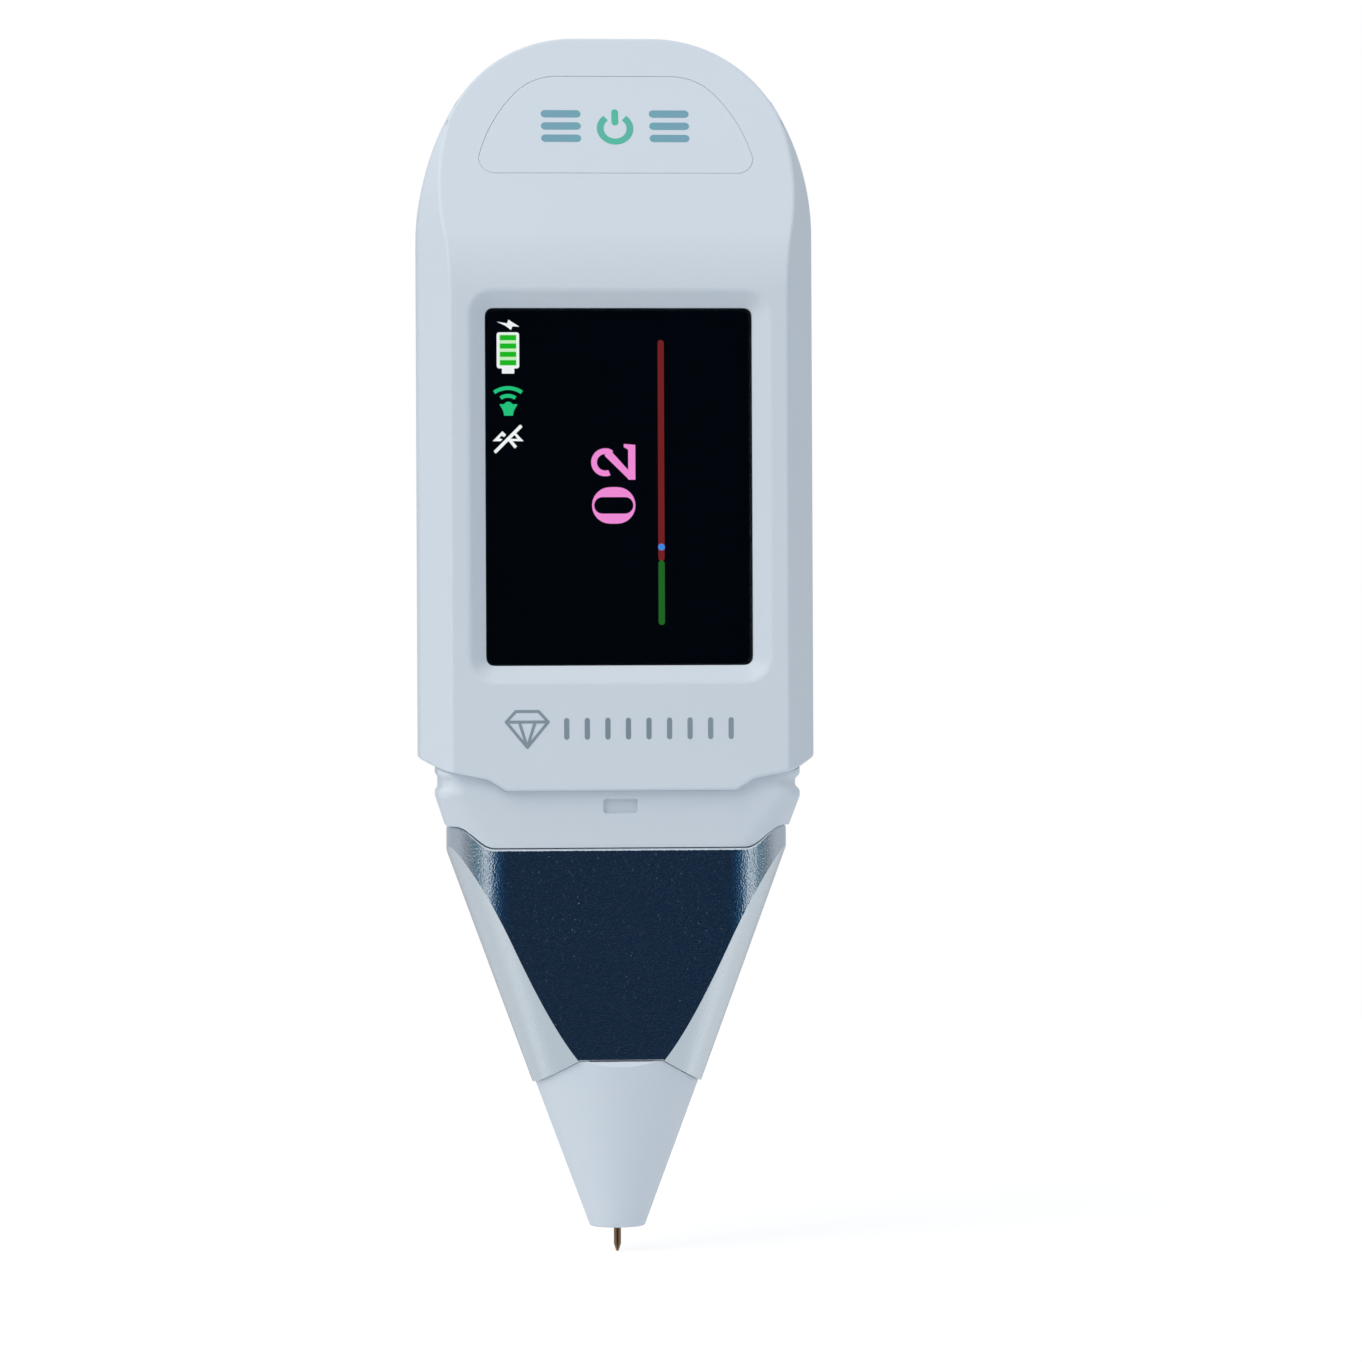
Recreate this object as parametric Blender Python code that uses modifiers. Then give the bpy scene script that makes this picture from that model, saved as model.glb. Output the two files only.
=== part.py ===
"""Hand-held thermal diamond tester, modelled piece by piece.

The tester stands on its needle with the screen towards -Y. The origin is the
middle of the metal grip, on the needle's axis, where it is held.
Sizes are in metres. A depth is measured from the needle's axis towards the
front, so a depth in front of the axis is positive and world Y is its negative.
"""

from math import atan2, cos, pi, radians, sin, sqrt, tan

import bmesh
import bpy
from mathutils import Matrix, Vector

# Lengths along the needle's axis
GRIP_LENGTH = 0.0294
NOZZLE_LENGTH = 0.0168
NEEDLE_REACH = 0.0030
NECK_LENGTH = 0.0082
CHIN_LENGTH = 0.0106

# Clearances
SEAT_GAP = 0.0003
KEY_GAP = 0.0002
RUNNING_GAP = 0.00008
OVERRUN = 0.0040
MERGE_DISTANCE = 0.0000001

# Head housing
HEAD_FRONT_DEPTH = 0.0115
WIDEST_DEPTH = 0.0040
FACE_MARGIN = 0.0039
SIDE_DRAFT = 0.0036
WALL = 0.0020
ARCH_TOP_RADIUS = 0.01588
ARCH_SHOULDER = 0.00237
ARCH_DROP = 0.02328
LEAN = radians(23)
LEAN_MARGIN = 0.0056
BEND_RADIUS = 0.0190
REAR_ROUND = 0.0035
FACE_ROUND = 0.0007
PARTING_DEPTH = -0.0022
LIP_DROP = 0.0037
LIP_MARGIN = 0.0096
SHOULDER_DROP = 0.0024
SHOULDER_MARGIN = 0.0076
CORNER_DROP = 0.0014
CORNER_MARGIN = 0.0026

# Screen opening and its bevelled surround
SCREEN_WIDTH = 0.0306
SCREEN_HEIGHT = 0.0409
BEZEL_MARGIN = 0.0019
BEZEL_LIP = 0.0004
SCREEN_CORNER = 0.0009

# Power key
KEY_FOOT_RISE = 0.01097
KEY_HEIGHT = 0.0116
KEY_TOP_MARGIN = 0.0047
KEY_SIDE_MARGIN = 0.00652
KEY_TOP_RADIUS = 0.00678
KEY_SHOULDER = 0.0029
KEY_DROP = 0.01402
KEY_CORNER = 0.0018
KEY_EDGE = 0.00025
KEY_FLANGE_WIDTH = 0.0008
KEY_FLANGE_THICKNESS = 0.0008
KEY_TRAVEL = 0.0005
SWITCH_SIZE = 0.0052
SWITCH_HEIGHT = 0.0016
SWITCH_FLOOR = 0.00035
SWITCH_BUTTON_RADIUS = 0.0010
SWITCH_BUTTON_HEIGHT = 0.0011
KEY_BOARD_THICKNESS = 0.0010
KEY_BOARD_WIDTH = 0.0250
KEY_BOARD_HEIGHT = 0.0130
KEY_BOARD_FOOT = 0.0035
KEY_POST_RADIUS = 0.0016
KEY_POST_SPREAD = 0.0190

# Screen stack
GLASS_OVERLAP = 0.0010
GLASS_THICKNESS = 0.0010
GASKET_THICKNESS = 0.0006
GASKET_BAND = 0.0012
PANEL_THICKNESS = 0.0018
PANEL_TAIL = 0.0028
TRAY_THICKNESS = 0.0018
TRAY_BAND = 0.0035
FLEX_WIDTH = 0.0120
FLEX_THICKNESS = 0.00025
FLEX_BEND = 0.0012

# Main board and what stands on it
BOARD_MARGIN = 0.0007
BOARD_THICKNESS = 0.0012
BOARD_CORNER = 0.0010
BOARD_FOOT_INSET = 0.0033
BOARD_HEAD_GAP = 0.0008
CHIP_SIZE = 0.0070
CHIP_HEIGHT = 0.0010
POWER_CHIP_SIZE = 0.0040
SHIELD_WIDTH = 0.0120
SHIELD_LENGTH = 0.0100
SHIELD_HEIGHT = 0.0018
SHIELD_RISE = 0.0330
SHIELD_X = -0.0035
CHIP_RISE = 0.0200
CHIP_X = 0.0035
POWER_CHIP_DROP = 0.0065
POWER_CHIP_X = -0.0125
SOCKET_WIDTH = 0.0140
SOCKET_LENGTH = 0.0036
SOCKET_HEIGHT = 0.0010
PROBE_SOCKET_WIDTH = 0.0100
PROBE_SOCKET_HEIGHT = 0.0028
PROBE_SOCKET_RISE = 0.0104
KEY_SOCKET_WIDTH = 0.0070
KEY_SOCKET_X = -0.0060
HEADER_WIDTH = 0.0036
HEADER_HEIGHT = 0.0018
HEADER_X = 0.0009
TOP_SOCKET_DROP = 0.0020
TOP_SOCKET_LENGTH = 0.0030
LEAD_SOCKET_WIDTH = 0.0060
LEAD_SOCKET_LENGTH = 0.0045
LEAD_SOCKET_HEIGHT = 0.0024
LEAD_SOCKET_DROP = 0.0065
LEAD_SOCKET_X = 0.0060
CHIP_EDGE = 0.0002

# Battery
BATTERY_WIDTH = 0.0290
BATTERY_THICKNESS = 0.0060
BATTERY_ROUND = 0.0012
BATTERY_RISE = 0.0125
BATTERY_HEAD_GAP = 0.0032
BATTERY_GAP = 0.0006
PAD_THICKNESS = 0.0008
PAD_MARGIN = 0.0040
LEAD_RADIUS = 0.00045
LEAD_SPACING = 0.0024
CHARGE_LEAD_RADIUS = 0.0009

# Buzzer and its sound holes
BUZZER_RADIUS = 0.0060
BUZZER_THICKNESS = 0.0030
BUZZER_HEAD_GAP = 0.0007
BUZZER_PORT_RADIUS = 0.0010
BUZZER_RIB = 0.0008
SOUND_HOLE_RADIUS = 0.0006
SOUND_HOLE_CIRCLE = 0.0024
SOUND_HOLE_COUNT = 6

# Charging socket at the top
CHARGE_WIDTH = 0.0089
CHARGE_HEIGHT = 0.0033
CHARGE_LENGTH = 0.0073
CHARGE_WALL = 0.00035
CHARGE_BACK = 0.0009
CHARGE_SINK = 0.0004
TONGUE_WIDTH = 0.0065
TONGUE_THICKNESS = 0.0007
TONGUE_LENGTH = 0.0046
CHARGE_BOARD_WIDTH = 0.0180
CHARGE_BOARD_LENGTH = 0.0120
CHARGE_BOARD_THICKNESS = 0.0010
CHARGE_BOARD_DROP = 0.0042

# Housing screws and their posts
UPPER_SCREW_RISE = 0.0021
LOWER_SCREW_RISE = 0.0045
SCREW_HEAD_RADIUS = 0.0019
SCREW_HEAD_HEIGHT = 0.0013
SCREW_SHANK_RADIUS = 0.0009
SCREW_SINK = 0.0012
SCREW_SLOT_WIDTH = 0.0005
SCREW_SLOT_DEPTH = 0.0006
SCREW_SLOT_LENGTH = 0.0025
POST_WALL = 0.0008
BOSS_RADIUS = 0.0019
BOSS_DEPTH = 0.0060
SCREW_BITE = 0.0045

# Neck
NECK_STEP = 0.0020
NECK_FRONT_STEP = 0.0011
NECK_CORNER = 0.0030
NECK_GROOVE_DEPTH = 0.00054
NECK_GROOVE_HEIGHT = 0.0013
NECK_GROOVE_DROP = 0.0019
NECK_RIB_HEIGHT = 0.0007
DIMPLE_WIDTH = 0.0037
DIMPLE_HEIGHT = 0.0018
DIMPLE_DEPTH = 0.0005
DIMPLE_RISE = 0.0018
SPIGOT_RISE = 0.0011
SPIGOT_ROOT = 0.0015
EAR_WIDTH = 0.0040
EAR_THICKNESS = 0.0027
EAR_RISE = 0.0074
CORE_POCKET_THICKNESS = 0.0080
CORE_POCKET_FLOOR_GAP = 0.0016
CORE_POCKET_CORNER = 0.0016
CORE_SPIGOT_RADIUS = 0.0056
CORE_SPIGOT_REACH = 0.0046

# Grip shell
GRIP_STEP = 0.0012
GRIP_FRONT_STEP = 0.0007
GRIP_CORNER = 0.0068
GRIP_WALL = 0.0009
GRIP_FOOT_RADIUS = 0.00979
CONE_SLOPE = 0.3669
TAB_HEIGHT = 0.0022
TAB_MARGIN = 0.0017
RIM_MARGIN = 0.0052
FOOT_PEAK_RISE = 0.0030
FOOT_PEAK_WIDTH = 0.0095
FOOT_KNEE_RISE = 0.0027
FOOT_KNEE_WIDTH = 0.0105

# Grip contact
CONTACT_WIDTH = 0.0040
CONTACT_LENGTH = 0.0110
CONTACT_THICKNESS = 0.0003
CONTACT_BOW = 0.0005
CONTACT_POCKET_DEPTH = 0.0012

# Nozzle
NOZZLE_MOUTH_RADIUS = 0.003268
NOZZLE_STEP = 0.00036
NOZZLE_SHOULDER = 0.0006
NOZZLE_EDGE = 0.0003
NOZZLE_FLOOR = 0.0008

# Probe
NEEDLE_RADIUS = 0.00042
NEEDLE_END_RADIUS = 0.00030
NEEDLE_TAPER = 0.0008
NEEDLE_HOLD = 0.0020
NEEDLE_STEP_RADIUS = 0.00018
BUSH_RADIUS = 0.0015
BUSH_LENGTH = 0.0028
BUSH_FLANGE_RADIUS = 0.0024
BUSH_FLANGE_THICKNESS = 0.0006
SLEEVE_RADIUS = 0.0030
SLEEVE_WALL = 0.0004
SLEEVE_LENGTH = 0.0210
CARRIER_LENGTH = 0.0070
CARRIER_TAIL_RADIUS = 0.0010
CARRIER_TAIL_LENGTH = 0.0045
SPRING_RADIUS = 0.00170
SPRING_WIRE_RADIUS = 0.00020
SPRING_TURNS = 7
SPRING_POINTS_PER_TURN = 9
PLUG_LENGTH = 0.0030
PLUG_HOLE_RADIUS = 0.0008
PROBE_BOARD_WIDTH = 0.0140
PROBE_BOARD_LENGTH = 0.0120
PROBE_BOARD_THICKNESS = 0.0010
PROBE_LEAD_RADIUS = 0.00035
PROBE_LEAD_SPACING = 0.0030
AMPLIFIER_SIZE = 0.0040
RIBBON_WIDTH = 0.0080
HEATER_RADIUS = 0.00045
HEATER_LENGTH = 0.0015

# Number of straight pieces in round stretches
ARCH_TOP_STEPS = 8
ARCH_SIDE_STEPS = 7
CORNER_STEPS = 5
BEND_STEPS = 5
ROUND_STEPS = 4
SMALL_CORNER_STEPS = 3
CONE_SIDES = 72
ROUND_SIDES = 32
SMALL_SIDES = 20
HOLE_SIDES = 16

# Heights of the main joints between pieces
GRIP_TOP_Z = GRIP_LENGTH / 2
GRIP_FOOT_Z = -GRIP_LENGTH / 2
MOUTH_Z = GRIP_FOOT_Z - NOZZLE_LENGTH
TIP_Z = MOUTH_Z - NEEDLE_REACH
HEAD_FOOT_Z = GRIP_TOP_Z + NECK_LENGTH
LIP_Z = HEAD_FOOT_Z - LIP_DROP
RIM_Z = GRIP_TOP_Z - TAB_HEIGHT
SCREEN_FOOT_Z = HEAD_FOOT_Z + CHIN_LENGTH
SCREEN_TOP_Z = SCREEN_FOOT_Z + SCREEN_HEIGHT
SCREEN_MID_Z = SCREEN_FOOT_Z + SCREEN_HEIGHT / 2
LEAN_CORNER_Z = SCREEN_TOP_Z + LEAN_MARGIN
HEAD_TOP_Z = LEAN_CORNER_Z + KEY_FOOT_RISE * cos(LEAN) + KEY_HEIGHT + KEY_TOP_MARGIN
PANEL_FOOT_Z = SCREEN_FOOT_Z - GLASS_OVERLAP - PANEL_TAIL
BOARD_FOOT_Z = PANEL_FOOT_Z + BOARD_FOOT_INSET

# Widths of the main pieces, from the screen outwards
FACE_WIDTH = SCREEN_WIDTH + 2 * FACE_MARGIN
HEAD_WIDTH = FACE_WIDTH + 2 * SIDE_DRAFT
NECK_WIDTH = HEAD_WIDTH - 2 * NECK_STEP
NECK_THICKNESS = 2 * (HEAD_FRONT_DEPTH - NECK_FRONT_STEP)
GRIP_WIDTH = NECK_WIDTH - 2 * GRIP_STEP
BOARD_WIDTH = SCREEN_WIDTH + 2 * BOARD_MARGIN
GRIP_THICKNESS = NECK_THICKNESS - 2 * GRIP_FRONT_STEP
KEY_SPREAD = HEAD_WIDTH - 2 * KEY_SIDE_MARGIN
SCREW_X = HEAD_WIDTH / 2 - WALL - SEAT_GAP - EAR_WIDTH / 2

# Depths of the screen's layers, each behind the one before, and the head's rear depth
INNER_FRONT_DEPTH = HEAD_FRONT_DEPTH - WALL
GLASS_DEPTH = INNER_FRONT_DEPTH - SEAT_GAP
GASKET_DEPTH = GLASS_DEPTH - GLASS_THICKNESS - SEAT_GAP
PANEL_DEPTH = GASKET_DEPTH - GASKET_THICKNESS - SEAT_GAP
TRAY_DEPTH = PANEL_DEPTH - PANEL_THICKNESS - SEAT_GAP
BOARD_DEPTH = TRAY_DEPTH - TRAY_THICKNESS - SEAT_GAP
BOARD_BACK_DEPTH = BOARD_DEPTH - BOARD_THICKNESS
PACK_FRONT_DEPTH = BOARD_BACK_DEPTH - SEAT_GAP - PROBE_SOCKET_HEIGHT - BATTERY_GAP
INNER_REAR_DEPTH = BATTERY_THICKNESS + PAD_THICKNESS + 2 * SEAT_GAP - PACK_FRONT_DEPTH
HEAD_REAR_DEPTH = INNER_REAR_DEPTH + WALL

# Frames that turn a flat outline to face the front, the plan or the side
FRONT_FRAME = Matrix(((1, 0, 0, 0), (0, 0, -1, 0), (0, 1, 0, 0), (0, 0, 0, 1)))
PLAN_FRAME = Matrix.Identity(4)
SIDE_FRAME = Matrix(((0, 0, 1, 0), (1, 0, 0, 0), (0, 1, 0, 0), (0, 0, 0, 1)))

# Colour, roughness and metallic value of each finish
WHITE_ABS = ((0.80, 0.84, 0.88), 0.38, 0.0)
SATIN_CHROME = ((0.62, 0.64, 0.67), 0.24, 1.0)
CLEAR_GLASS = ((0.02, 0.02, 0.02), 0.05, 0.0)
BLACK_PLASTIC = ((0.02, 0.02, 0.022), 0.45, 0.0)
BLACK_FOAM = ((0.03, 0.03, 0.03), 0.90, 0.0)
GREEN_BOARD = ((0.02, 0.16, 0.06), 0.45, 0.0)
STEEL = ((0.55, 0.56, 0.58), 0.28, 1.0)
BRASS = ((0.72, 0.52, 0.22), 0.25, 1.0)
COPPER = ((0.55, 0.33, 0.20), 0.30, 1.0)
AMBER_FILM = ((0.55, 0.28, 0.05), 0.35, 0.0)
SILVER_POUCH = ((0.60, 0.61, 0.63), 0.35, 0.6)
RED_LEAD = ((0.55, 0.02, 0.02), 0.45, 0.0)
BLACK_LEAD = ((0.02, 0.02, 0.02), 0.45, 0.0)
WHITE_RESIN = ((0.75, 0.74, 0.70), 0.50, 0.0)


def start_model(name):
    """Empty the scene and return the collections for the pieces and for the cutters."""
    for old in list(bpy.data.objects):
        bpy.data.objects.remove(old, do_unlink=True)
    pieces = bpy.data.collections.new(name)
    cutters = bpy.data.collections.new(name + "_cutters")
    bpy.context.scene.collection.children.link(pieces)
    bpy.context.scene.collection.children.link(cutters)
    return pieces, cutters


PIECES, CUTTERS = start_model("diamond_tester")


def dress(obj, finish):
    """Give a piece a material of its own, named after it."""
    colour, roughness, metallic = finish
    material = bpy.data.materials.new(obj.name)
    material.use_nodes = True
    shader = material.node_tree.nodes["Principled BSDF"]
    shader.inputs["Base Color"].default_value = (*colour, 1.0)
    shader.inputs["Roughness"].default_value = roughness
    shader.inputs["Metallic"].default_value = metallic
    obj.data.materials.clear()
    obj.data.materials.append(material)


def place(name, data, finish, frame):
    """Link mesh or curve data as a piece, or as a cutter where it has no finish."""
    obj = bpy.data.objects.new(name, data)
    obj.matrix_world = frame
    if finish is None:
        CUTTERS.objects.link(obj)
        obj.display_type = "WIRE"
        obj.hide_render = True
    else:
        PIECES.objects.link(obj)
        dress(obj, finish)
    return obj


def frozen(obj):
    """Return the evaluated mesh of an object, with its doubles merged."""
    bpy.context.view_layer.update()
    graph = bpy.context.evaluated_depsgraph_get()
    mesh = bpy.data.meshes.new_from_object(obj.evaluated_get(graph))
    shape = bmesh.new()
    shape.from_mesh(mesh)
    bmesh.ops.remove_doubles(shape, verts=shape.verts, dist=MERGE_DISTANCE)
    bmesh.ops.recalc_face_normals(shape, faces=shape.faces)
    shape.to_mesh(mesh)
    shape.free()
    mesh.materials.clear()
    return mesh


def outline_solid(name, points, low, high, finish=None, frame=FRONT_FRAME):
    """Extrude a closed flat outline between two distances along its frame's normal."""
    curve = bpy.data.curves.new(name, "CURVE")
    curve.dimensions = "2D"
    curve.fill_mode = "BOTH"
    curve.extrude = (high - low) / 2
    spline = curve.splines.new("POLY")
    spline.points.add(len(points) - 1)
    for point, (u, v) in zip(spline.points, points):
        point.co = (u, v, 0, 1)
    spline.use_cyclic_u = True
    flat = place(name + "_outline", curve, None, frame)
    mesh = frozen(flat)
    bpy.data.objects.remove(flat)
    bpy.data.curves.remove(curve)
    mesh.name = name
    return place(name, mesh, finish, frame @ Matrix.Translation((0, 0, (low + high) / 2)))


def box(name, size, centre, finish=None, rounding=0, frame=PLAN_FRAME):
    """Make a box from its size and centre, with rounded edges if asked."""
    shape = bmesh.new()
    bmesh.ops.create_cube(shape, size=1, matrix=Matrix.Diagonal((*size, 1)))
    mesh = bpy.data.meshes.new(name)
    shape.to_mesh(mesh)
    shape.free()
    obj = place(name, mesh, finish, frame @ Matrix.Translation(centre))
    if rounding:
        round_edges(obj, rounding)
    return obj


def drum(name, radius, low, high, centre=(0, 0), finish=None, frame=PLAN_FRAME, sides=HOLE_SIDES):
    """Make a cylinder between two distances along its frame's normal."""
    shape = bmesh.new()
    bmesh.ops.create_cone(shape, cap_ends=True, segments=sides, radius1=radius, radius2=radius,
                          depth=high - low)
    mesh = bpy.data.meshes.new(name)
    shape.to_mesh(mesh)
    shape.free()
    middle = Matrix.Translation((centre[0], centre[1], (low + high) / 2))
    return place(name, mesh, finish, frame @ middle)


def turned(name, profile, finish=None, sides=ROUND_SIDES, closed=False, frame=PLAN_FRAME):
    """Turn a profile of (radius, height) points about the axis, from the top down."""
    mesh = bpy.data.meshes.new(name)
    edges = [(i, i + 1) for i in range(len(profile) - 1)]
    if closed:
        edges.append((len(profile) - 1, 0))
    mesh.from_pydata([(radius, 0, height) for radius, height in profile], edges, [])
    obj = place(name, mesh, finish, frame)
    screw = obj.modifiers.new("turn", "SCREW")
    screw.axis = "Z"
    screw.steps = sides
    screw.render_steps = sides
    screw.use_merge_vertices = True
    screw.merge_threshold = MERGE_DISTANCE
    screw.use_smooth_shade = True
    return obj


def tube(name, points, radius, finish, resolution=2):
    """Run a round wire through points, as one closed mesh."""
    curve = bpy.data.curves.new(name, "CURVE")
    curve.dimensions = "3D"
    curve.bevel_depth = radius
    curve.bevel_resolution = resolution
    curve.use_fill_caps = True
    spline = curve.splines.new("POLY")
    spline.points.add(len(points) - 1)
    for point, place_m in zip(spline.points, points):
        point.co = (*place_m, 1)
    wire = place(name + "_run", curve, None, PLAN_FRAME)
    mesh = frozen(wire)
    bpy.data.objects.remove(wire)
    bpy.data.curves.remove(curve)
    mesh.name = name
    return place(name, mesh, finish, PLAN_FRAME)


def combine(target, other, operation):
    """Join, cut or intersect a piece with another solid, by a live Boolean."""
    step = target.modifiers.new(operation.lower() + "_" + other.name, "BOOLEAN")
    step.operation = operation
    step.solver = "EXACT"
    step.object = other


def cut(target, *cutters):
    """Take cutters away from a piece."""
    for cutter in cutters:
        combine(target, cutter, "DIFFERENCE")


def join(target, *others):
    """Add solids to a piece."""
    for other in others:
        combine(target, other, "UNION")


def keep_inside(target, *limits):
    """Keep only what a piece shares with other solids."""
    for limit in limits:
        combine(target, limit, "INTERSECT")


def round_edges(obj, width, angle=radians(30), segments=2):
    """Round the sharp edges of a piece with a Bevel modifier."""
    bevel = obj.modifiers.new("rounding", "BEVEL")
    bevel.width = width
    bevel.segments = segments
    bevel.limit_method = "ANGLE"
    bevel.angle_limit = angle


def shade_round(obj, angle=radians(25)):
    """Shade the round faces of a piece smooth and keep its edges sharp."""
    obj.data.shade_smooth()
    obj.data.set_sharp_from_angle(angle=angle)


def arc(centre, radius, start, end, steps):
    """Return the points of an arc, its two ends among them."""
    points = []
    for step in range(steps + 1):
        angle = start + (end - start) * step / steps
        points.append((centre[0] + radius * cos(angle), centre[1] + radius * sin(angle)))
    return points


def mirrored(points):
    """Close a right-hand half outline, listed bottom to top, with its mirror image."""
    return points + [(-u, v) for u, v in reversed(points) if abs(u) > MERGE_DISTANCE]


def rounded_rectangle(width, height, radius, middle=0, steps=CORNER_STEPS):
    """Return a rectangle with round corners, centred at u = 0 and v = middle."""
    across = width / 2 - radius
    rise = height / 2 - radius
    right = arc((across, middle - rise), radius, -pi / 2, 0, steps)
    right += arc((across, middle + rise), radius, 0, pi / 2, steps)
    return mirrored(right)


def arch_half(half_width, top, drop, shoulder, top_radius, inset):
    """Return the right half of an arch: a side arc that runs into a tighter arc and a flat top.

    The side starts to turn in at the drop below the top. The shoulder is what the tighter arc
    stays inside the full width, and it sets the side arc's radius.
    """
    fall = drop - top_radius
    side_radius = top_radius + (shoulder ** 2 + fall ** 2) / (2 * shoulder)
    top_centre = (half_width - shoulder - top_radius, top - top_radius)
    side_centre = (half_width - side_radius, top - drop)
    meet = atan2(fall, top_centre[0] - side_centre[0])
    side = arc(side_centre, side_radius - inset, 0, meet, ARCH_SIDE_STEPS)
    return side + arc(top_centre, top_radius - inset, meet, pi / 2, ARCH_TOP_STEPS)[1:]


def head_outline(inset):
    """Return the head's arched outline, drawn in by an inset, with its foot run out downwards."""
    half = arch_half(HEAD_WIDTH / 2, HEAD_TOP_Z, ARCH_DROP, ARCH_SHOULDER, ARCH_TOP_RADIUS, inset)
    foot = (HEAD_WIDTH / 2 - inset, LIP_Z - NECK_LENGTH - inset)
    return mirrored([foot] + half)


def head_block(name, inset, finish=None):
    """Make the head's solid: straight sides, a drafted front and a rounded rear edge."""
    draft = SIDE_DRAFT / (HEAD_FRONT_DEPTH - WIDEST_DEPTH)
    shape = bmesh.new()
    corners = [shape.verts.new((u, -WIDEST_DEPTH, v)) for u, v in head_outline(inset)]
    front = shape.faces.new(corners)
    grown = bmesh.ops.extrude_face_region(shape, geom=[front])
    rear_verts = [item for item in grown["geom"] if isinstance(item, bmesh.types.BMVert)]
    rear = [item for item in grown["geom"] if isinstance(item, bmesh.types.BMFace)][0]
    straight = WIDEST_DEPTH + HEAD_REAR_DEPTH - REAR_ROUND
    bmesh.ops.translate(shape, verts=rear_verts, vec=(0, straight, 0))
    bmesh.ops.recalc_face_normals(shape, faces=shape.faces)
    reach = HEAD_FRONT_DEPTH - WIDEST_DEPTH + OVERRUN
    bmesh.ops.inset_region(shape, faces=[front], thickness=reach * draft, depth=reach,
                           use_even_offset=True, use_boundary=True)
    radius = REAR_ROUND - inset
    for step in range(ROUND_STEPS):
        here = pi / 2 * step / ROUND_STEPS
        there = pi / 2 * (step + 1) / ROUND_STEPS
        bmesh.ops.inset_region(shape, faces=[rear], thickness=radius * (cos(here) - cos(there)),
                               depth=radius * (sin(there) - sin(here)),
                               use_even_offset=True, use_boundary=True)
    mesh = bpy.data.meshes.new(name)
    shape.to_mesh(mesh)
    shape.free()
    return place(name, mesh, finish, PLAN_FRAME)


def face_cutter(name, inset):
    """Make the solid in front of the face: an upright plane that bends into the leaning one."""
    plane = inset - HEAD_FRONT_DEPTH
    radius = BEND_RADIUS - inset
    start_z = LEAN_CORNER_Z - BEND_RADIUS * tan(LEAN / 2)
    bend = arc((plane + radius, start_z), radius, pi, pi - LEAN, BEND_STEPS)
    far = HEAD_TOP_Z - HEAD_FOOT_Z
    last = bend[-1]
    points = [(plane, HEAD_FOOT_Z - far)] + bend
    points.append((last[0] + far * sin(LEAN), last[1] + far * cos(LEAN)))
    points.append((plane - far, points[-1][1]))
    points.append((plane - far, HEAD_FOOT_Z - far))
    return outline_solid(name, points, -HEAD_WIDTH, HEAD_WIDTH, frame=SIDE_FRAME)


def lower_edge(drop=0):
    """Return the right half of the head's lower edge, from the middle outwards."""
    return [
        (0, LIP_Z - drop),
        (HEAD_WIDTH / 2 - LIP_MARGIN, LIP_Z - drop),
        (HEAD_WIDTH / 2 - SHOULDER_MARGIN, HEAD_FOOT_Z - SHOULDER_DROP - drop),
        (HEAD_WIDTH / 2 - CORNER_MARGIN, HEAD_FOOT_Z - CORNER_DROP - drop),
        (HEAD_WIDTH / 2, HEAD_FOOT_Z - drop),
        (HEAD_WIDTH, HEAD_FOOT_Z - drop),
    ]


def lean_point(rise):
    """Return the depth and height of a point on the leaning face, measured up the slope."""
    rise_z = LEAN_CORNER_Z + rise * cos(LEAN)
    return HEAD_FRONT_DEPTH - rise * sin(LEAN), rise_z


def screw_places():
    """Return each housing screw's name, its place and its height."""
    upper = HEAD_TOP_Z - ARCH_DROP + UPPER_SCREW_RISE
    lower = HEAD_FOOT_Z + LOWER_SCREW_RISE
    return [
        ("shell_screw_upper_left", -SCREW_X, upper),
        ("shell_screw_upper_right", SCREW_X, upper),
        ("shell_screw_lower_left", -SCREW_X, lower),
        ("shell_screw_lower_right", SCREW_X, lower),
    ]


def key_frame():
    """Return the frame of the key: X across, Y up the leaning face and Z out of it."""
    depth, height = lean_point(KEY_FOOT_RISE)
    return Matrix.Translation((0, -depth, height)) @ Matrix.Rotation(pi / 2 - LEAN, 4, "X")


def key_outline(grow):
    """Return the key's outline, grown by a margin.

    Seen from the front it is a low arch on a straight foot, so it is stretched up the slope.
    """
    half = arch_half(KEY_SPREAD / 2, KEY_HEIGHT, KEY_DROP, KEY_SHOULDER, KEY_TOP_RADIUS, -grow)
    half = [(u, v) for u, v in half if v > KEY_CORNER]
    foot_x = half[0][0]
    corner = arc((foot_x - KEY_CORNER, KEY_CORNER - grow), KEY_CORNER, -pi / 2, 0,
                 SMALL_CORNER_STEPS)
    return [(u, v / cos(LEAN)) for u, v in mirrored(corner + half)]


def key_cutter(name, grow):
    """Make the hole that the key moves in, square to the leaning face."""
    return outline_solid(name, key_outline(grow), -2 * WALL, OVERRUN, frame=key_frame())


def cut_head_foot(name):
    """Make the solid below the head's lower edge."""
    edge = lower_edge()
    floor = MOUTH_Z
    right = [(edge[-1][0], floor)] + list(reversed(edge))
    left = [(-u, v) for u, v in edge[1:]]
    return outline_solid(name, right + left + [(-edge[-1][0], floor)], -HEAD_WIDTH, HEAD_WIDTH)


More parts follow.
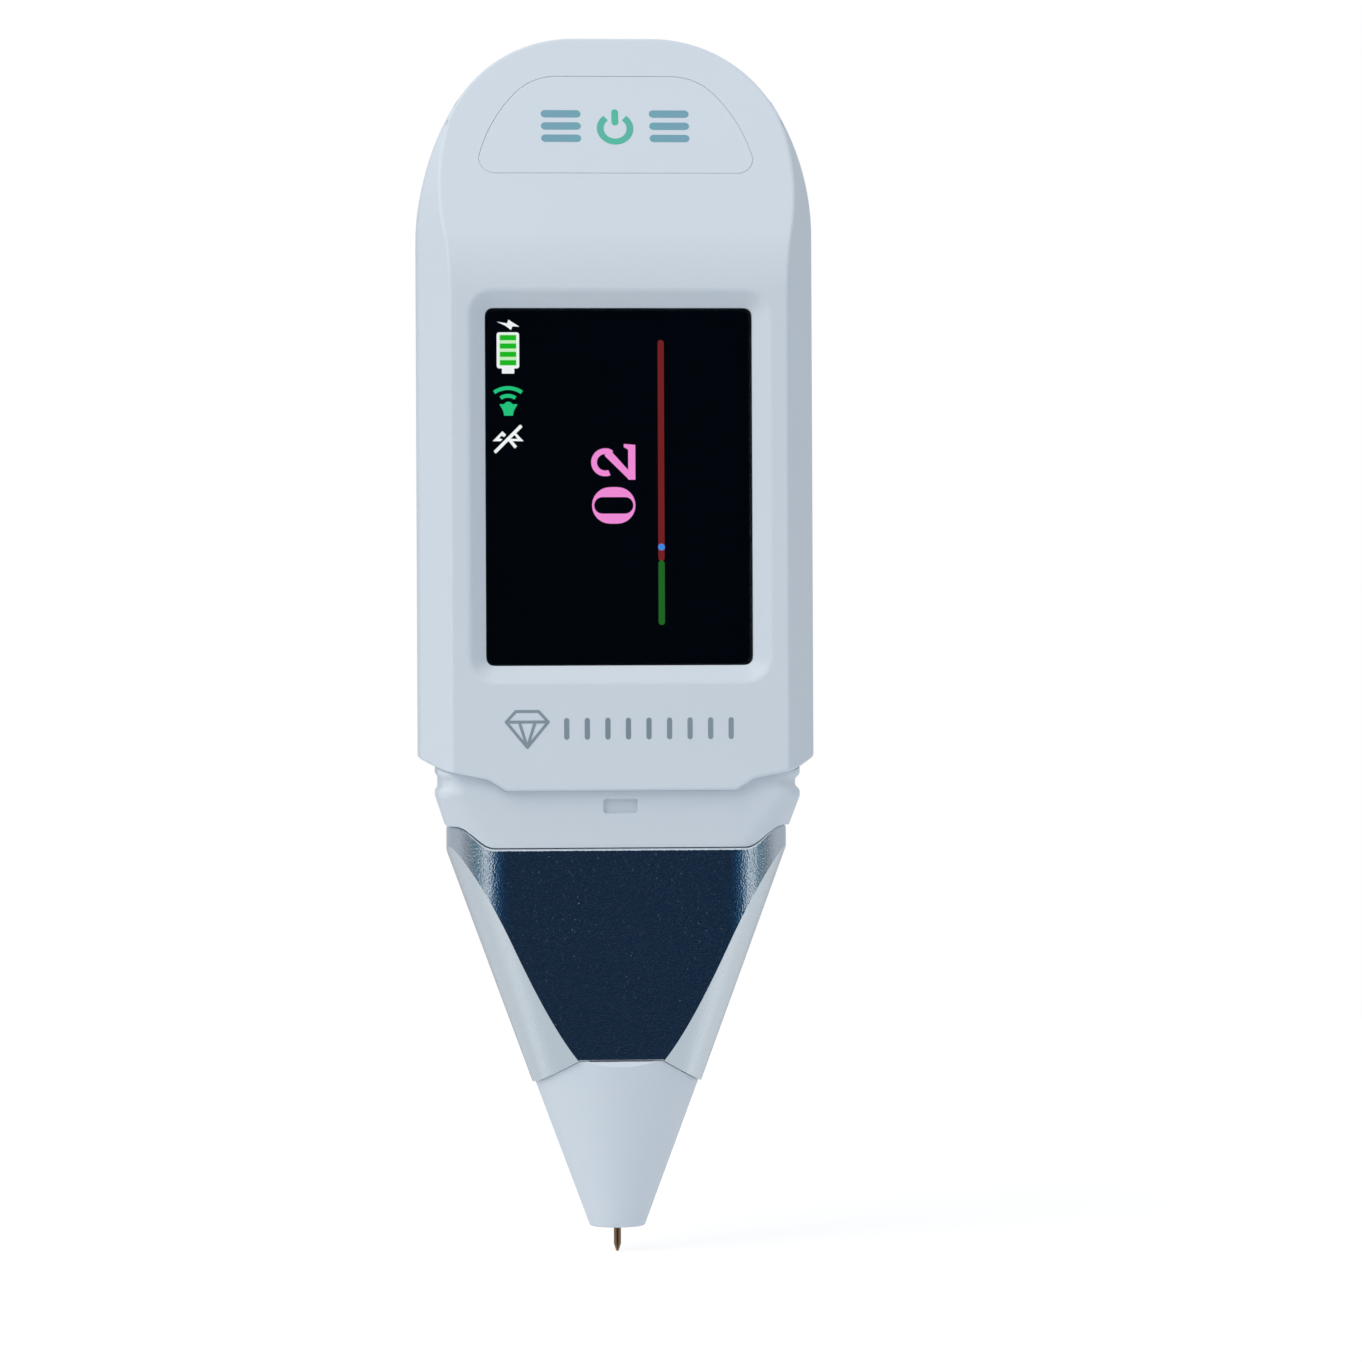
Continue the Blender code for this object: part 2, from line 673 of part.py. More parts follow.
def bezel_cutter(name):
    """Make the bevelled recess round the screen, narrowing to the screen's own opening."""
    bevel_depth = WALL - BEZEL_LIP
    slope = BEZEL_MARGIN / bevel_depth
    grow = OVERRUN * slope
    shape = bmesh.new()
    outline = rounded_rectangle(SCREEN_WIDTH, SCREEN_HEIGHT, SCREEN_CORNER, SCREEN_MID_Z,
                                SMALL_CORNER_STEPS)
    inner = [shape.verts.new((u, bevel_depth - HEAD_FRONT_DEPTH, v)) for u, v in outline]
    mouth = shape.faces.new(inner)
    grown = bmesh.ops.extrude_face_region(shape, geom=[mouth])
    deep_verts = [item for item in grown["geom"] if isinstance(item, bmesh.types.BMVert)]
    bmesh.ops.translate(shape, verts=deep_verts, vec=(0, OVERRUN, 0))
    bmesh.ops.recalc_face_normals(shape, faces=shape.faces)
    bmesh.ops.inset_region(shape, faces=[mouth], thickness=-(BEZEL_MARGIN + grow),
                           depth=bevel_depth + OVERRUN, use_even_offset=True, use_boundary=True)
    mesh = bpy.data.meshes.new(name)
    shape.to_mesh(mesh)
    shape.free()
    return place(name, mesh, None, PLAN_FRAME)


def make_shells():
    """Make the front and rear shells of the head, with their posts, bosses and openings."""
    face = face_cutter("head_face_cutter", 0)
    foot = cut_head_foot("head_foot_cutter")
    cavity = head_block("head_cavity", WALL)
    cut(cavity, face_cutter("cavity_face_cutter", WALL))
    side = 2 * HEAD_WIDTH
    tall = 2 * (HEAD_TOP_Z - HEAD_FOOT_Z)
    middle_z = (HEAD_TOP_Z + HEAD_FOOT_Z) / 2
    front_y = -PARTING_DEPTH - SEAT_GAP / 2
    rear_y = -PARTING_DEPTH + SEAT_GAP / 2
    front_half = box("front_half", (side, side, tall), (0, front_y - side / 2, middle_z))
    rear_half = box("rear_half", (side, side, tall), (0, rear_y + side / 2, middle_z))
    shells = []
    for name, half in (("front_shell", front_half), ("rear_shell", rear_half)):
        shell = head_block(name, 0, WHITE_ABS)
        cut(shell, face, foot)
        round_edges(shell, FACE_ROUND, angle=radians(35))
        cut(shell, cavity)
        keep_inside(shell, half)
        shells.append(shell)
    front, rear = shells
    add_screw_bosses(front, rear)
    add_key_posts(front)
    cut(front, bezel_cutter("bezel_cutter"), key_cutter("key_hole", KEY_GAP))
    open_rear_shell(rear)
    shade_round(front)
    shade_round(rear)


def add_screw_bosses(front, rear):
    """Add the four blind bosses of the front shell and the four posts of the rear shell."""
    hole_radius = SCREW_SHANK_RADIUS + SEAT_GAP
    for name, x, z in screw_places():
        boss_end = boss_foot_depth(z)
        post_end = PARTING_DEPTH - SEAT_GAP / 2
        boss = drum(name + "_boss", BOSS_RADIUS, boss_end, BOSS_DEPTH, (x, z), frame=FRONT_FRAME)
        pilot = drum(name + "_pilot", hole_radius, PARTING_DEPTH - OVERRUN,
                     boss_end + SCREW_BITE + SEAT_GAP, (x, z), frame=FRONT_FRAME)
        join(front, boss)
        cut(front, pilot)
        well_radius = SCREW_HEAD_RADIUS + SEAT_GAP
        seat = screw_seat_depth()
        post = drum(name + "_post", well_radius + POST_WALL, -INNER_REAR_DEPTH - WALL / 2,
                    post_end, (x, z), frame=FRONT_FRAME)
        well = drum(name + "_well", well_radius, -HEAD_REAR_DEPTH - OVERRUN, seat + SEAT_GAP,
                    (x, z), frame=FRONT_FRAME)
        shaft = drum(name + "_shaft", hole_radius, -HEAD_REAR_DEPTH, post_end + OVERRUN, (x, z),
                     frame=FRONT_FRAME)
        join(rear, post)
        cut(rear, well, shaft)


def boss_foot_depth(height):
    """Return the depth at which a boss starts: behind the parting line or in front of an ear."""
    foot = PARTING_DEPTH + SEAT_GAP / 2
    if height < SCREEN_MID_Z:
        foot += EAR_THICKNESS + SEAT_GAP
    return foot


def screw_seat_depth():
    """Return the depth of the face under each screw's head."""
    return -HEAD_REAR_DEPTH + SCREW_SINK + SCREW_HEAD_HEIGHT + SEAT_GAP


def key_levels():
    """Return the levels behind the leaning face: flange, button, switch foot and key board."""
    flange_top = -WALL - SEAT_GAP
    button_top = flange_top - KEY_FLANGE_THICKNESS - SEAT_GAP
    play = KEY_TRAVEL + SEAT_GAP / 2
    switch_foot = button_top - SWITCH_BUTTON_HEIGHT - play - SWITCH_FLOOR
    return flange_top, button_top, switch_foot, switch_foot - SEAT_GAP


def add_key_posts(front):
    """Add the two posts of the front shell that the key board is held on."""
    middle = -(KEY_FLANGE_WIDTH / cos(LEAN) + SEAT_GAP + KEY_POST_RADIUS)
    for side in (-1, 1):
        post = drum("key_post", KEY_POST_RADIUS, key_levels()[-1] + SEAT_GAP, -WALL / 2,
                    (side * KEY_POST_SPREAD / 2, middle), frame=key_frame())
        join(front, post)


def open_rear_shell(rear):
    """Cut the charging opening and the sound holes, and add the buzzer's rib."""
    opening = rounded_rectangle(CHARGE_WIDTH + 2 * SEAT_GAP, CHARGE_HEIGHT + 2 * SEAT_GAP,
                                CHARGE_HEIGHT / 2 + SEAT_GAP, charge_middle_y())
    cut(rear, outline_solid("charge_opening", opening, HEAD_TOP_Z - OVERRUN,
                            HEAD_TOP_Z + OVERRUN, frame=PLAN_FRAME))
    middle = (0, buzzer_height())
    rib_radius = BUZZER_RADIUS + SEAT_GAP
    rib = drum("buzzer_rib", rib_radius + BUZZER_RIB, -INNER_REAR_DEPTH - WALL / 2,
               BUZZER_THICKNESS - INNER_REAR_DEPTH, middle, frame=FRONT_FRAME, sides=ROUND_SIDES)
    seat = drum("buzzer_seat", rib_radius, -INNER_REAR_DEPTH, OVERRUN, middle,
                frame=FRONT_FRAME, sides=ROUND_SIDES)
    cut(rib, seat)
    join(rear, rib)
    for x, z in [middle] + sound_hole_circle():
        cut(rear, drum("sound_hole", SOUND_HOLE_RADIUS, -HEAD_REAR_DEPTH - OVERRUN,
                       -INNER_REAR_DEPTH + WALL / 2, (x, z), frame=FRONT_FRAME))


def buzzer_height():
    """Return the height of the buzzer's middle, with its rib just under the charging board."""
    board_foot = HEAD_TOP_Z - CHARGE_BOARD_DROP - CHARGE_BOARD_LENGTH
    return board_foot - BUZZER_HEAD_GAP - BUZZER_RIB - SEAT_GAP - BUZZER_RADIUS


def sound_hole_circle():
    """Return the places of the sound holes that ring the middle one."""
    holes = []
    for index in range(SOUND_HOLE_COUNT):
        angle = 2 * pi * index / SOUND_HOLE_COUNT
        holes.append((SOUND_HOLE_CIRCLE * cos(angle),
                      buzzer_height() + SOUND_HOLE_CIRCLE * sin(angle)))
    return holes


def make_screws():
    """Make the four pan-head screws that hold the shells together."""
    for name, x, z in screw_places():
        tip = boss_foot_depth(z) + SCREW_BITE
        seat = screw_seat_depth()
        top = seat - SCREW_HEAD_HEIGHT
        edge = SCREW_HEAD_HEIGHT / 3
        profile = [
            (0, top),
            (SCREW_HEAD_RADIUS - edge, top),
            (SCREW_HEAD_RADIUS, top + edge),
            (SCREW_HEAD_RADIUS, seat),
            (SCREW_SHANK_RADIUS, seat),
            (SCREW_SHANK_RADIUS, tip - SCREW_SHANK_RADIUS),
            (0, tip),
        ]
        profile = [(radius, -depth) for radius, depth in profile]
        frame = Matrix.Translation((x, 0, z)) @ Matrix.Rotation(-pi / 2, 4, "X")
        screw = turned(name, profile, STEEL, SMALL_SIDES, frame=frame)
        for index, turn in enumerate((0, pi / 2)):
            slot_frame = frame @ Matrix.Rotation(turn, 4, "Z")
            slot = box(name + "_slot_" + str(index),
                       (SCREW_SLOT_LENGTH, SCREW_SLOT_WIDTH, 2 * SCREW_SLOT_DEPTH),
                       (0, 0, -top), frame=slot_frame)
            cut(screw, slot)


def make_key():
    """Make the power key with its flange, its switch and the board behind it."""
    frame = key_frame()
    flange_top, button_top, switch_foot, board_top = key_levels()
    cap = outline_solid("power_key", key_outline(0), flange_top - KEY_FLANGE_THICKNESS / 2, 0,
                        WHITE_ABS, frame)
    round_edges(cap, KEY_EDGE)
    flange = outline_solid("key_flange", key_outline(KEY_FLANGE_WIDTH),
                           flange_top - KEY_FLANGE_THICKNESS, flange_top, frame=frame)
    join(cap, flange)
    shade_round(cap)
    middle = (0, KEY_HEIGHT / 2)
    drum("switch_button", SWITCH_BUTTON_RADIUS, button_top - SWITCH_BUTTON_HEIGHT, button_top,
         middle, BLACK_PLASTIC, frame, SMALL_SIDES)
    switch = box("switch_body", (SWITCH_SIZE, SWITCH_SIZE, SWITCH_HEIGHT),
                 (*middle, switch_foot + SWITCH_HEIGHT / 2), STEEL, CHIP_EDGE, frame)
    well = drum("switch_well", SWITCH_BUTTON_RADIUS + SEAT_GAP, switch_foot + SWITCH_FLOOR,
                switch_foot + OVERRUN, middle, frame=frame)
    cut(switch, well)
    box("key_board", (KEY_BOARD_WIDTH, KEY_BOARD_HEIGHT, KEY_BOARD_THICKNESS),
        (0, KEY_BOARD_HEIGHT / 2 - KEY_BOARD_FOOT, board_top - KEY_BOARD_THICKNESS / 2),
        GREEN_BOARD, frame=frame)


def make_screen():
    """Make the cover glass, dust gasket, display panel, its tray and its flexible lead."""
    width = SCREEN_WIDTH + 2 * GLASS_OVERLAP
    height = SCREEN_HEIGHT + 2 * GLASS_OVERLAP
    plate = rounded_rectangle(width, height, SCREEN_CORNER, SCREEN_MID_Z, SMALL_CORNER_STEPS)
    outline_solid("display_window", plate, GLASS_DEPTH - GLASS_THICKNESS, GLASS_DEPTH,
                  CLEAR_GLASS)
    seal = outline_solid("display_gasket", plate, GASKET_DEPTH - GASKET_THICKNESS, GASKET_DEPTH,
                         BLACK_FOAM)
    hole = rounded_rectangle(width - 2 * GASKET_BAND, height - 2 * GASKET_BAND, SCREEN_CORNER,
                             SCREEN_MID_Z, SMALL_CORNER_STEPS)
    cut(seal, outline_solid("gasket_hole", hole, GASKET_DEPTH - OVERRUN,
                            GASKET_DEPTH + OVERRUN))
    tall = height + PANEL_TAIL
    panel_middle = SCREEN_MID_Z - PANEL_TAIL / 2
    sheet = rounded_rectangle(width, tall, SCREEN_CORNER, panel_middle, SMALL_CORNER_STEPS)
    outline_solid("display_panel", sheet, PANEL_DEPTH - PANEL_THICKNESS, PANEL_DEPTH,
                  BLACK_PLASTIC)
    tray = outline_solid("display_tray", sheet, TRAY_DEPTH - TRAY_THICKNESS, TRAY_DEPTH, STEEL)
    gap = rounded_rectangle(width - 2 * TRAY_BAND, tall - 2 * TRAY_BAND, SCREEN_CORNER,
                            panel_middle, SMALL_CORNER_STEPS)
    cut(tray, outline_solid("tray_hole", gap, TRAY_DEPTH - OVERRUN, TRAY_DEPTH + OVERRUN))
    start = (PANEL_THICKNESS / 2 - PANEL_DEPTH, PANEL_FOOT_Z - SEAT_GAP)
    behind = SEAT_GAP + SOCKET_HEIGHT / 2 - BOARD_BACK_DEPTH
    low = PANEL_FOOT_Z - SEAT_GAP - FLEX_BEND
    path = [start]
    path += arc((start[0] + FLEX_BEND, low), FLEX_BEND, pi, 3 * pi / 2, ROUND_STEPS)
    path += arc((behind - FLEX_BEND, low), FLEX_BEND, -pi / 2, 0, ROUND_STEPS)
    path.append((behind, BOARD_FOOT_Z + SOCKET_LENGTH / 2 - SEAT_GAP))
    outline_solid("display_flex", ribbon(path, FLEX_THICKNESS), -FLEX_WIDTH / 2, FLEX_WIDTH / 2,
                  AMBER_FILM, SIDE_FRAME)


def ribbon(path, thickness):
    """Return the outline of a strip of even thickness that follows a path."""
    left = []
    right = []
    for index, (u, v) in enumerate(path):
        before = Vector(path[max(index - 1, 0)])
        after = Vector(path[min(index + 1, len(path) - 1)])
        along = (after - before).normalized()
        side = Vector((-along.y, along.x)) * thickness / 2
        left.append((u + side.x, v + side.y))
        right.append((u - side.x, v - side.y))
    return left + list(reversed(right))


def board_top():
    """Return the height of the main board's upper edge, just under the key's board."""
    corner = (0, -KEY_BOARD_FOOT, key_levels()[-1] - KEY_BOARD_THICKNESS)
    return (key_frame() @ Vector(corner)).z - BOARD_HEAD_GAP


def on_board(name, size, x, z, finish):
    """Stand a block on the rear face of the main board."""
    width, length, height = size
    y = SEAT_GAP + height / 2 - BOARD_BACK_DEPTH
    return box(name, (width, height, length), (x, y, z), finish, CHIP_EDGE)


def make_boards():
    """Make the main board with its chips and sockets."""
    top = board_top()
    sheet = rounded_rectangle(BOARD_WIDTH, top - BOARD_FOOT_Z, BOARD_CORNER,
                              (top + BOARD_FOOT_Z) / 2, SMALL_CORNER_STEPS)
    outline_solid("main_board", sheet, BOARD_BACK_DEPTH, BOARD_DEPTH, GREEN_BOARD)
    on_board("processor_chip", (CHIP_SIZE, CHIP_SIZE, CHIP_HEIGHT), CHIP_X,
             BOARD_FOOT_Z + CHIP_RISE, BLACK_PLASTIC)
    on_board("power_chip", (POWER_CHIP_SIZE, POWER_CHIP_SIZE, CHIP_HEIGHT), POWER_CHIP_X,
             top - POWER_CHIP_DROP, BLACK_PLASTIC)
    on_board("shield_can", (SHIELD_WIDTH, SHIELD_LENGTH, SHIELD_HEIGHT), SHIELD_X,
             BOARD_FOOT_Z + SHIELD_RISE, STEEL)
    on_board("flex_socket", (SOCKET_WIDTH, SOCKET_LENGTH, SOCKET_HEIGHT), 0,
             BOARD_FOOT_Z + SOCKET_LENGTH + SOCKET_LENGTH / 2, WHITE_RESIN)
    on_board("probe_socket", (PROBE_SOCKET_WIDTH, SOCKET_LENGTH, PROBE_SOCKET_HEIGHT), 0,
             BOARD_FOOT_Z + PROBE_SOCKET_RISE, WHITE_RESIN)
    on_board("key_socket", (KEY_SOCKET_WIDTH, TOP_SOCKET_LENGTH, SOCKET_HEIGHT), KEY_SOCKET_X,
             top - TOP_SOCKET_DROP, WHITE_RESIN)
    on_board("charge_header", (HEADER_WIDTH, TOP_SOCKET_LENGTH, HEADER_HEIGHT), HEADER_X,
             top - TOP_SOCKET_DROP, WHITE_RESIN)
    on_board("battery_socket", (LEAD_SOCKET_WIDTH, LEAD_SOCKET_LENGTH, LEAD_SOCKET_HEIGHT),
             LEAD_SOCKET_X, top - LEAD_SOCKET_DROP, WHITE_RESIN)


def make_links():
    """Make the ribbons and the cable that join the small boards to the main board."""
    top_z = board_top() - TOP_SOCKET_DROP + TOP_SOCKET_LENGTH / 2 + SEAT_GAP
    key_y = SEAT_GAP + SOCKET_HEIGHT / 2 - BOARD_BACK_DEPTH
    back = key_levels()[-1] - KEY_BOARD_THICKNESS - SEAT_GAP - FLEX_THICKNESS / 2
    board_face = key_frame() @ Vector((0, KEY_CORNER, back))
    out = key_frame() @ Vector((0, KEY_CORNER / 2, back - FLEX_BEND / 2))
    path = [
        (board_face.y, board_face.z),
        (out.y, out.z),
        (out.y, (out.z + top_z) / 2 + FLEX_BEND),
        (out.y - FLEX_BEND / 4, (out.z + top_z) / 2),
        (key_y, top_z + FLEX_BEND),
        (key_y, top_z),
    ]
    outline_solid("key_ribbon", ribbon(path, FLEX_THICKNESS), KEY_SOCKET_X - KEY_SOCKET_WIDTH / 3,
                  KEY_SOCKET_X + KEY_SOCKET_WIDTH / 3, AMBER_FILM, SIDE_FRAME)
    start_z = probe_board_foot() + PROBE_BOARD_LENGTH + SEAT_GAP
    end_z = BOARD_FOOT_Z + PROBE_SOCKET_RISE - SOCKET_LENGTH / 2 - SEAT_GAP
    end_y = SEAT_GAP + PROBE_SOCKET_HEIGHT / 2 - BOARD_BACK_DEPTH
    path = [(0, start_z), (0, HEAD_FOOT_Z), (end_y, HEAD_FOOT_Z + FLEX_BEND), (end_y, end_z)]
    outline_solid("probe_ribbon", ribbon(path, FLEX_THICKNESS), -RIBBON_WIDTH / 2,
                  RIBBON_WIDTH / 2, AMBER_FILM, SIDE_FRAME)
    face_y = INNER_REAR_DEPTH - SEAT_GAP - CHARGE_BOARD_THICKNESS - SEAT_GAP
    header_y = SEAT_GAP + HEADER_HEIGHT / 2 - BOARD_BACK_DEPTH
    high_z = HEAD_TOP_Z - CHARGE_BOARD_DROP - CHARGE_BOARD_LENGTH + 2 * CHARGE_LEAD_RADIUS
    fall = high_z - top_z
    reach = face_y - header_y
    path = [(HEADER_X, face_y, high_z)]
    for step in range(1, 2 * ROUND_STEPS + 1):
        share = step / (2 * ROUND_STEPS)
        path.append((HEADER_X, header_y + reach * (1 - sin(pi / 2 * share)),
                     high_z - fall * (1 - cos(pi / 2 * share))))
    tube("charge_lead", path, CHARGE_LEAD_RADIUS, BLACK_LEAD)


def make_battery():
    """Make the pouch cell, its foam pad and its two leads."""
    pad_y = INNER_REAR_DEPTH - SEAT_GAP - PAD_THICKNESS / 2
    cell_y = pad_y - PAD_THICKNESS / 2 - SEAT_GAP - BATTERY_THICKNESS / 2
    cell_foot = HEAD_FOOT_Z + BATTERY_RISE
    rib_foot = buzzer_height() - BUZZER_RADIUS - SEAT_GAP - BUZZER_RIB
    length = rib_foot - BATTERY_HEAD_GAP - cell_foot
    middle_z = cell_foot + length / 2
    box("battery_cell", (BATTERY_WIDTH, BATTERY_THICKNESS, length), (0, cell_y, middle_z),
        SILVER_POUCH, BATTERY_ROUND)
    box("battery_pad", (BATTERY_WIDTH - PAD_MARGIN, PAD_THICKNESS, length - PAD_MARGIN),
        (0, pad_y, middle_z), BLACK_FOAM)
    socket_top = board_top() - LEAD_SOCKET_DROP + LEAD_SOCKET_LENGTH / 2 + SEAT_GAP
    socket_y = SEAT_GAP + LEAD_SOCKET_HEIGHT / 2 - BOARD_BACK_DEPTH
    cell_top = cell_foot + length + SEAT_GAP
    for name, side, finish in (("battery_lead_red", 1, RED_LEAD),
                               ("battery_lead_black", -1, BLACK_LEAD)):
        x = LEAD_SOCKET_X + side * LEAD_SPACING / 2
        loop_z = socket_top + LEAD_SPACING
        path = [(x, cell_y, cell_top), (x, cell_y, loop_z - LEAD_SPACING / 2)]
        reach = (cell_y - socket_y) / 2
        bend = arc((cell_y - reach, loop_z - LEAD_SPACING / 2), reach, 0, pi, 2 * ROUND_STEPS)
        path += [(x, y, z) for y, z in bend[1:]]
        path.append((x, socket_y, socket_top))
        tube(name, path, LEAD_RADIUS, finish)


def make_buzzer():
    """Make the round buzzer that sits in the rear shell's rib."""
    back = INNER_REAR_DEPTH - SEAT_GAP
    frame = Matrix.Translation((0, 0, buzzer_height())) @ Matrix.Rotation(-pi / 2, 4, "X")
    edge = CHIP_EDGE
    profile = [
        (BUZZER_PORT_RADIUS, back),
        (BUZZER_RADIUS - edge, back),
        (BUZZER_RADIUS, back - edge),
        (BUZZER_RADIUS, back - BUZZER_THICKNESS),
        (0, back - BUZZER_THICKNESS),
        (0, back - BUZZER_THICKNESS / 2),
        (BUZZER_PORT_RADIUS, back - BUZZER_THICKNESS / 2),
    ]
    turned("buzzer", profile[5:] + profile[:5], BLACK_PLASTIC, ROUND_SIDES, frame=frame)


def charge_middle_y():
    """Return world Y of the charging socket's middle."""
    board_front = INNER_REAR_DEPTH - SEAT_GAP - CHARGE_BOARD_THICKNESS
    return board_front - SEAT_GAP - CHARGE_HEIGHT / 2


def make_charge_socket():
    """Make the oval charging socket, its tongue and its small board."""
    top = HEAD_TOP_Z - CHARGE_SINK
    foot = top - CHARGE_LENGTH
    middle = charge_middle_y()
    oval = rounded_rectangle(CHARGE_WIDTH, CHARGE_HEIGHT, CHARGE_HEIGHT / 2, middle)
    bore = rounded_rectangle(CHARGE_WIDTH - 2 * CHARGE_WALL, CHARGE_HEIGHT - 2 * CHARGE_WALL,
                             CHARGE_HEIGHT / 2 - CHARGE_WALL, middle)
    socket = outline_solid("charge_socket", oval, foot, top, STEEL, PLAN_FRAME)
    cut(socket, outline_solid("charge_bore", bore, foot + CHARGE_BACK, top + OVERRUN,
                              frame=PLAN_FRAME))
    shade_round(socket)
    box("charge_tongue", (TONGUE_WIDTH, TONGUE_THICKNESS, TONGUE_LENGTH),
        (0, middle, foot + CHARGE_BACK + SEAT_GAP + TONGUE_LENGTH / 2), BLACK_PLASTIC)
    board_y = INNER_REAR_DEPTH - SEAT_GAP - CHARGE_BOARD_THICKNESS / 2
    upper_edge = HEAD_TOP_Z - CHARGE_BOARD_DROP
    box("charge_board", (CHARGE_BOARD_WIDTH, CHARGE_BOARD_THICKNESS, CHARGE_BOARD_LENGTH),
        (0, board_y, upper_edge - CHARGE_BOARD_LENGTH / 2), GREEN_BOARD)


def cone_radius(height, inset=0):
    """Return the grip cone's radius at a height, drawn in by an inset square to its side."""
    return GRIP_FOOT_RADIUS + (height - GRIP_FOOT_Z) * CONE_SLOPE - inset * sqrt(1 + CONE_SLOPE ** 2)


def grip_block(name, inset, low, high, finish=None):
    """Make the grip's solid: a prism with round corners, kept inside a cone."""
    plan = rounded_rectangle(GRIP_WIDTH - 2 * inset, GRIP_THICKNESS - 2 * inset,
                             GRIP_CORNER - inset)
    block = outline_solid(name, plan, low, high, finish, PLAN_FRAME)
    cone_low = low - OVERRUN
    cone_high = high + OVERRUN
    profile = [
        (0, cone_high),
        (cone_radius(cone_high, inset), cone_high),
        (cone_radius(cone_low, inset), cone_low),
        (0, cone_low),
    ]
    cone = turned(name + "_cone", profile, None, CONE_SIDES)
    keep_inside(block, cone)
    return block


def rim_edge(rise=0):
    """Return the right half of the grip's upper edge: a level rim that sweeps up to a side tab."""
    low_x = GRIP_WIDTH / 2 - RIM_MARGIN
    high_x = GRIP_WIDTH / 2 - TAB_MARGIN
    edge = [(0, RIM_Z + rise)]
    for step in range(2 * ROUND_STEPS + 1):
        share = step / (2 * ROUND_STEPS)
        height = RIM_Z + TAB_HEIGHT * (1 - cos(pi * share)) / 2
        edge.append((low_x + (high_x - low_x) * share, height + rise))
    edge.append((NECK_WIDTH, GRIP_TOP_Z + rise))
    return edge


def foot_edge(rise=0):
    """Return the right half of the grip's lower edge: a level peak that falls to the sides."""
    knee = (FOOT_KNEE_WIDTH / 2, GRIP_FOOT_Z + FOOT_KNEE_RISE + rise)
    side = (GRIP_FOOT_RADIUS, GRIP_FOOT_Z + rise)
    far_x = GRIP_WIDTH
    fall = (knee[1] - side[1]) / (side[0] - knee[0])
    return [
        (0, GRIP_FOOT_Z + FOOT_PEAK_RISE + rise),
        (FOOT_PEAK_WIDTH / 2, GRIP_FOOT_Z + FOOT_PEAK_RISE + rise),
        knee,
        (far_x, side[1] - fall * (far_x - side[0])),
    ]


def edge_cutter(name, edge, limit_z):
    """Make the solid between an edge line, mirrored to the left, and a level beyond it."""
    left = [(-u, v) for u, v in edge[1:]]
    points = list(reversed(edge)) + left
    points += [(-edge[-1][0], limit_z), (edge[-1][0], limit_z)]
    return outline_solid(name, points, -HEAD_WIDTH, HEAD_WIDTH)


def make_grip():
    """Make the plated grip shell by which the tester is held, and the contact leaf inside it."""
    low = GRIP_FOOT_Z - OVERRUN
    high = GRIP_TOP_Z + OVERRUN
    shell = grip_block("grip_shell", 0, low, high, SATIN_CHROME)
    bore = grip_block("grip_bore", GRIP_WALL, low - OVERRUN, high + OVERRUN)
    cut(shell, bore)
    cut(shell, edge_cutter("grip_top_cutter", rim_edge(), high + OVERRUN))
    cut(shell, edge_cutter("grip_foot_cutter", foot_edge(), MOUTH_Z - NOZZLE_LENGTH))
    shade_round(shell)
    inner_y = GRIP_THICKNESS / 2 - GRIP_WALL
    leaf_y = inner_y - SEAT_GAP - CONTACT_THICKNESS / 2
    path = []
    for step in range(2 * ROUND_STEPS + 1):
        share = step / (2 * ROUND_STEPS)
        path.append((leaf_y - CONTACT_BOW * (1 - sin(pi * share)),
                     CONTACT_LENGTH * (share - 1 / 2)))
    outline_solid("grip_contact", ribbon(path, CONTACT_THICKNESS), -CONTACT_WIDTH / 2,
                  CONTACT_WIDTH / 2, COPPER, SIDE_FRAME)


def neck_band(name):
    """Make the neck's outer band, with a snap groove in each side, from sections up its height."""
    half_width = NECK_WIDTH / 2
    half_depth = NECK_THICKNESS / 2
    waist_width = GRIP_WIDTH / 2
    waist_depth = GRIP_THICKNESS / 2
    groove_top = HEAD_FOOT_Z - NECK_GROOVE_DROP
    groove_foot = groove_top - NECK_GROOVE_HEIGHT
    slope = NECK_GROOVE_DEPTH
    rib_foot = groove_foot - slope - NECK_RIB_HEIGHT
    sections = [
        (HEAD_FOOT_Z, half_width, half_depth, NECK_CORNER),
        (groove_top, half_width, half_depth, NECK_CORNER),
        (groove_top - slope, half_width - NECK_GROOVE_DEPTH, half_depth, NECK_CORNER),
        (groove_foot, half_width - NECK_GROOVE_DEPTH, half_depth, NECK_CORNER),
        (groove_foot - slope, half_width, half_depth, NECK_CORNER),
        (rib_foot, half_width, half_depth, NECK_CORNER),
        (GRIP_TOP_Z, waist_width, half_depth - (half_width - waist_width) / 2,
         (NECK_CORNER + GRIP_CORNER) / 2),
        (RIM_Z, waist_width, waist_depth, GRIP_CORNER),
        (RIM_Z - TAB_HEIGHT, waist_width, waist_depth, GRIP_CORNER),
    ]
    shape = bmesh.new()
    rings = []
    for z, across, deep, corner in sections:
        plan = rounded_rectangle(2 * across, 2 * deep, corner)
        rings.append([shape.verts.new((x, y, z)) for x, y in plan])
    for upper, lower in zip(rings, rings[1:]):
        for index in range(len(upper)):
            nearby = (index + 1) % len(upper)
            shape.faces.new((upper[index], lower[index], lower[nearby], upper[nearby]))
    shape.faces.new(rings[0])
    shape.faces.new(list(reversed(rings[-1])))
    bmesh.ops.recalc_face_normals(shape, faces=shape.faces)
    mesh = bpy.data.meshes.new(name)
    shape.to_mesh(mesh)
    shape.free()
    return place(name, mesh, WHITE_ABS, PLAN_FRAME)


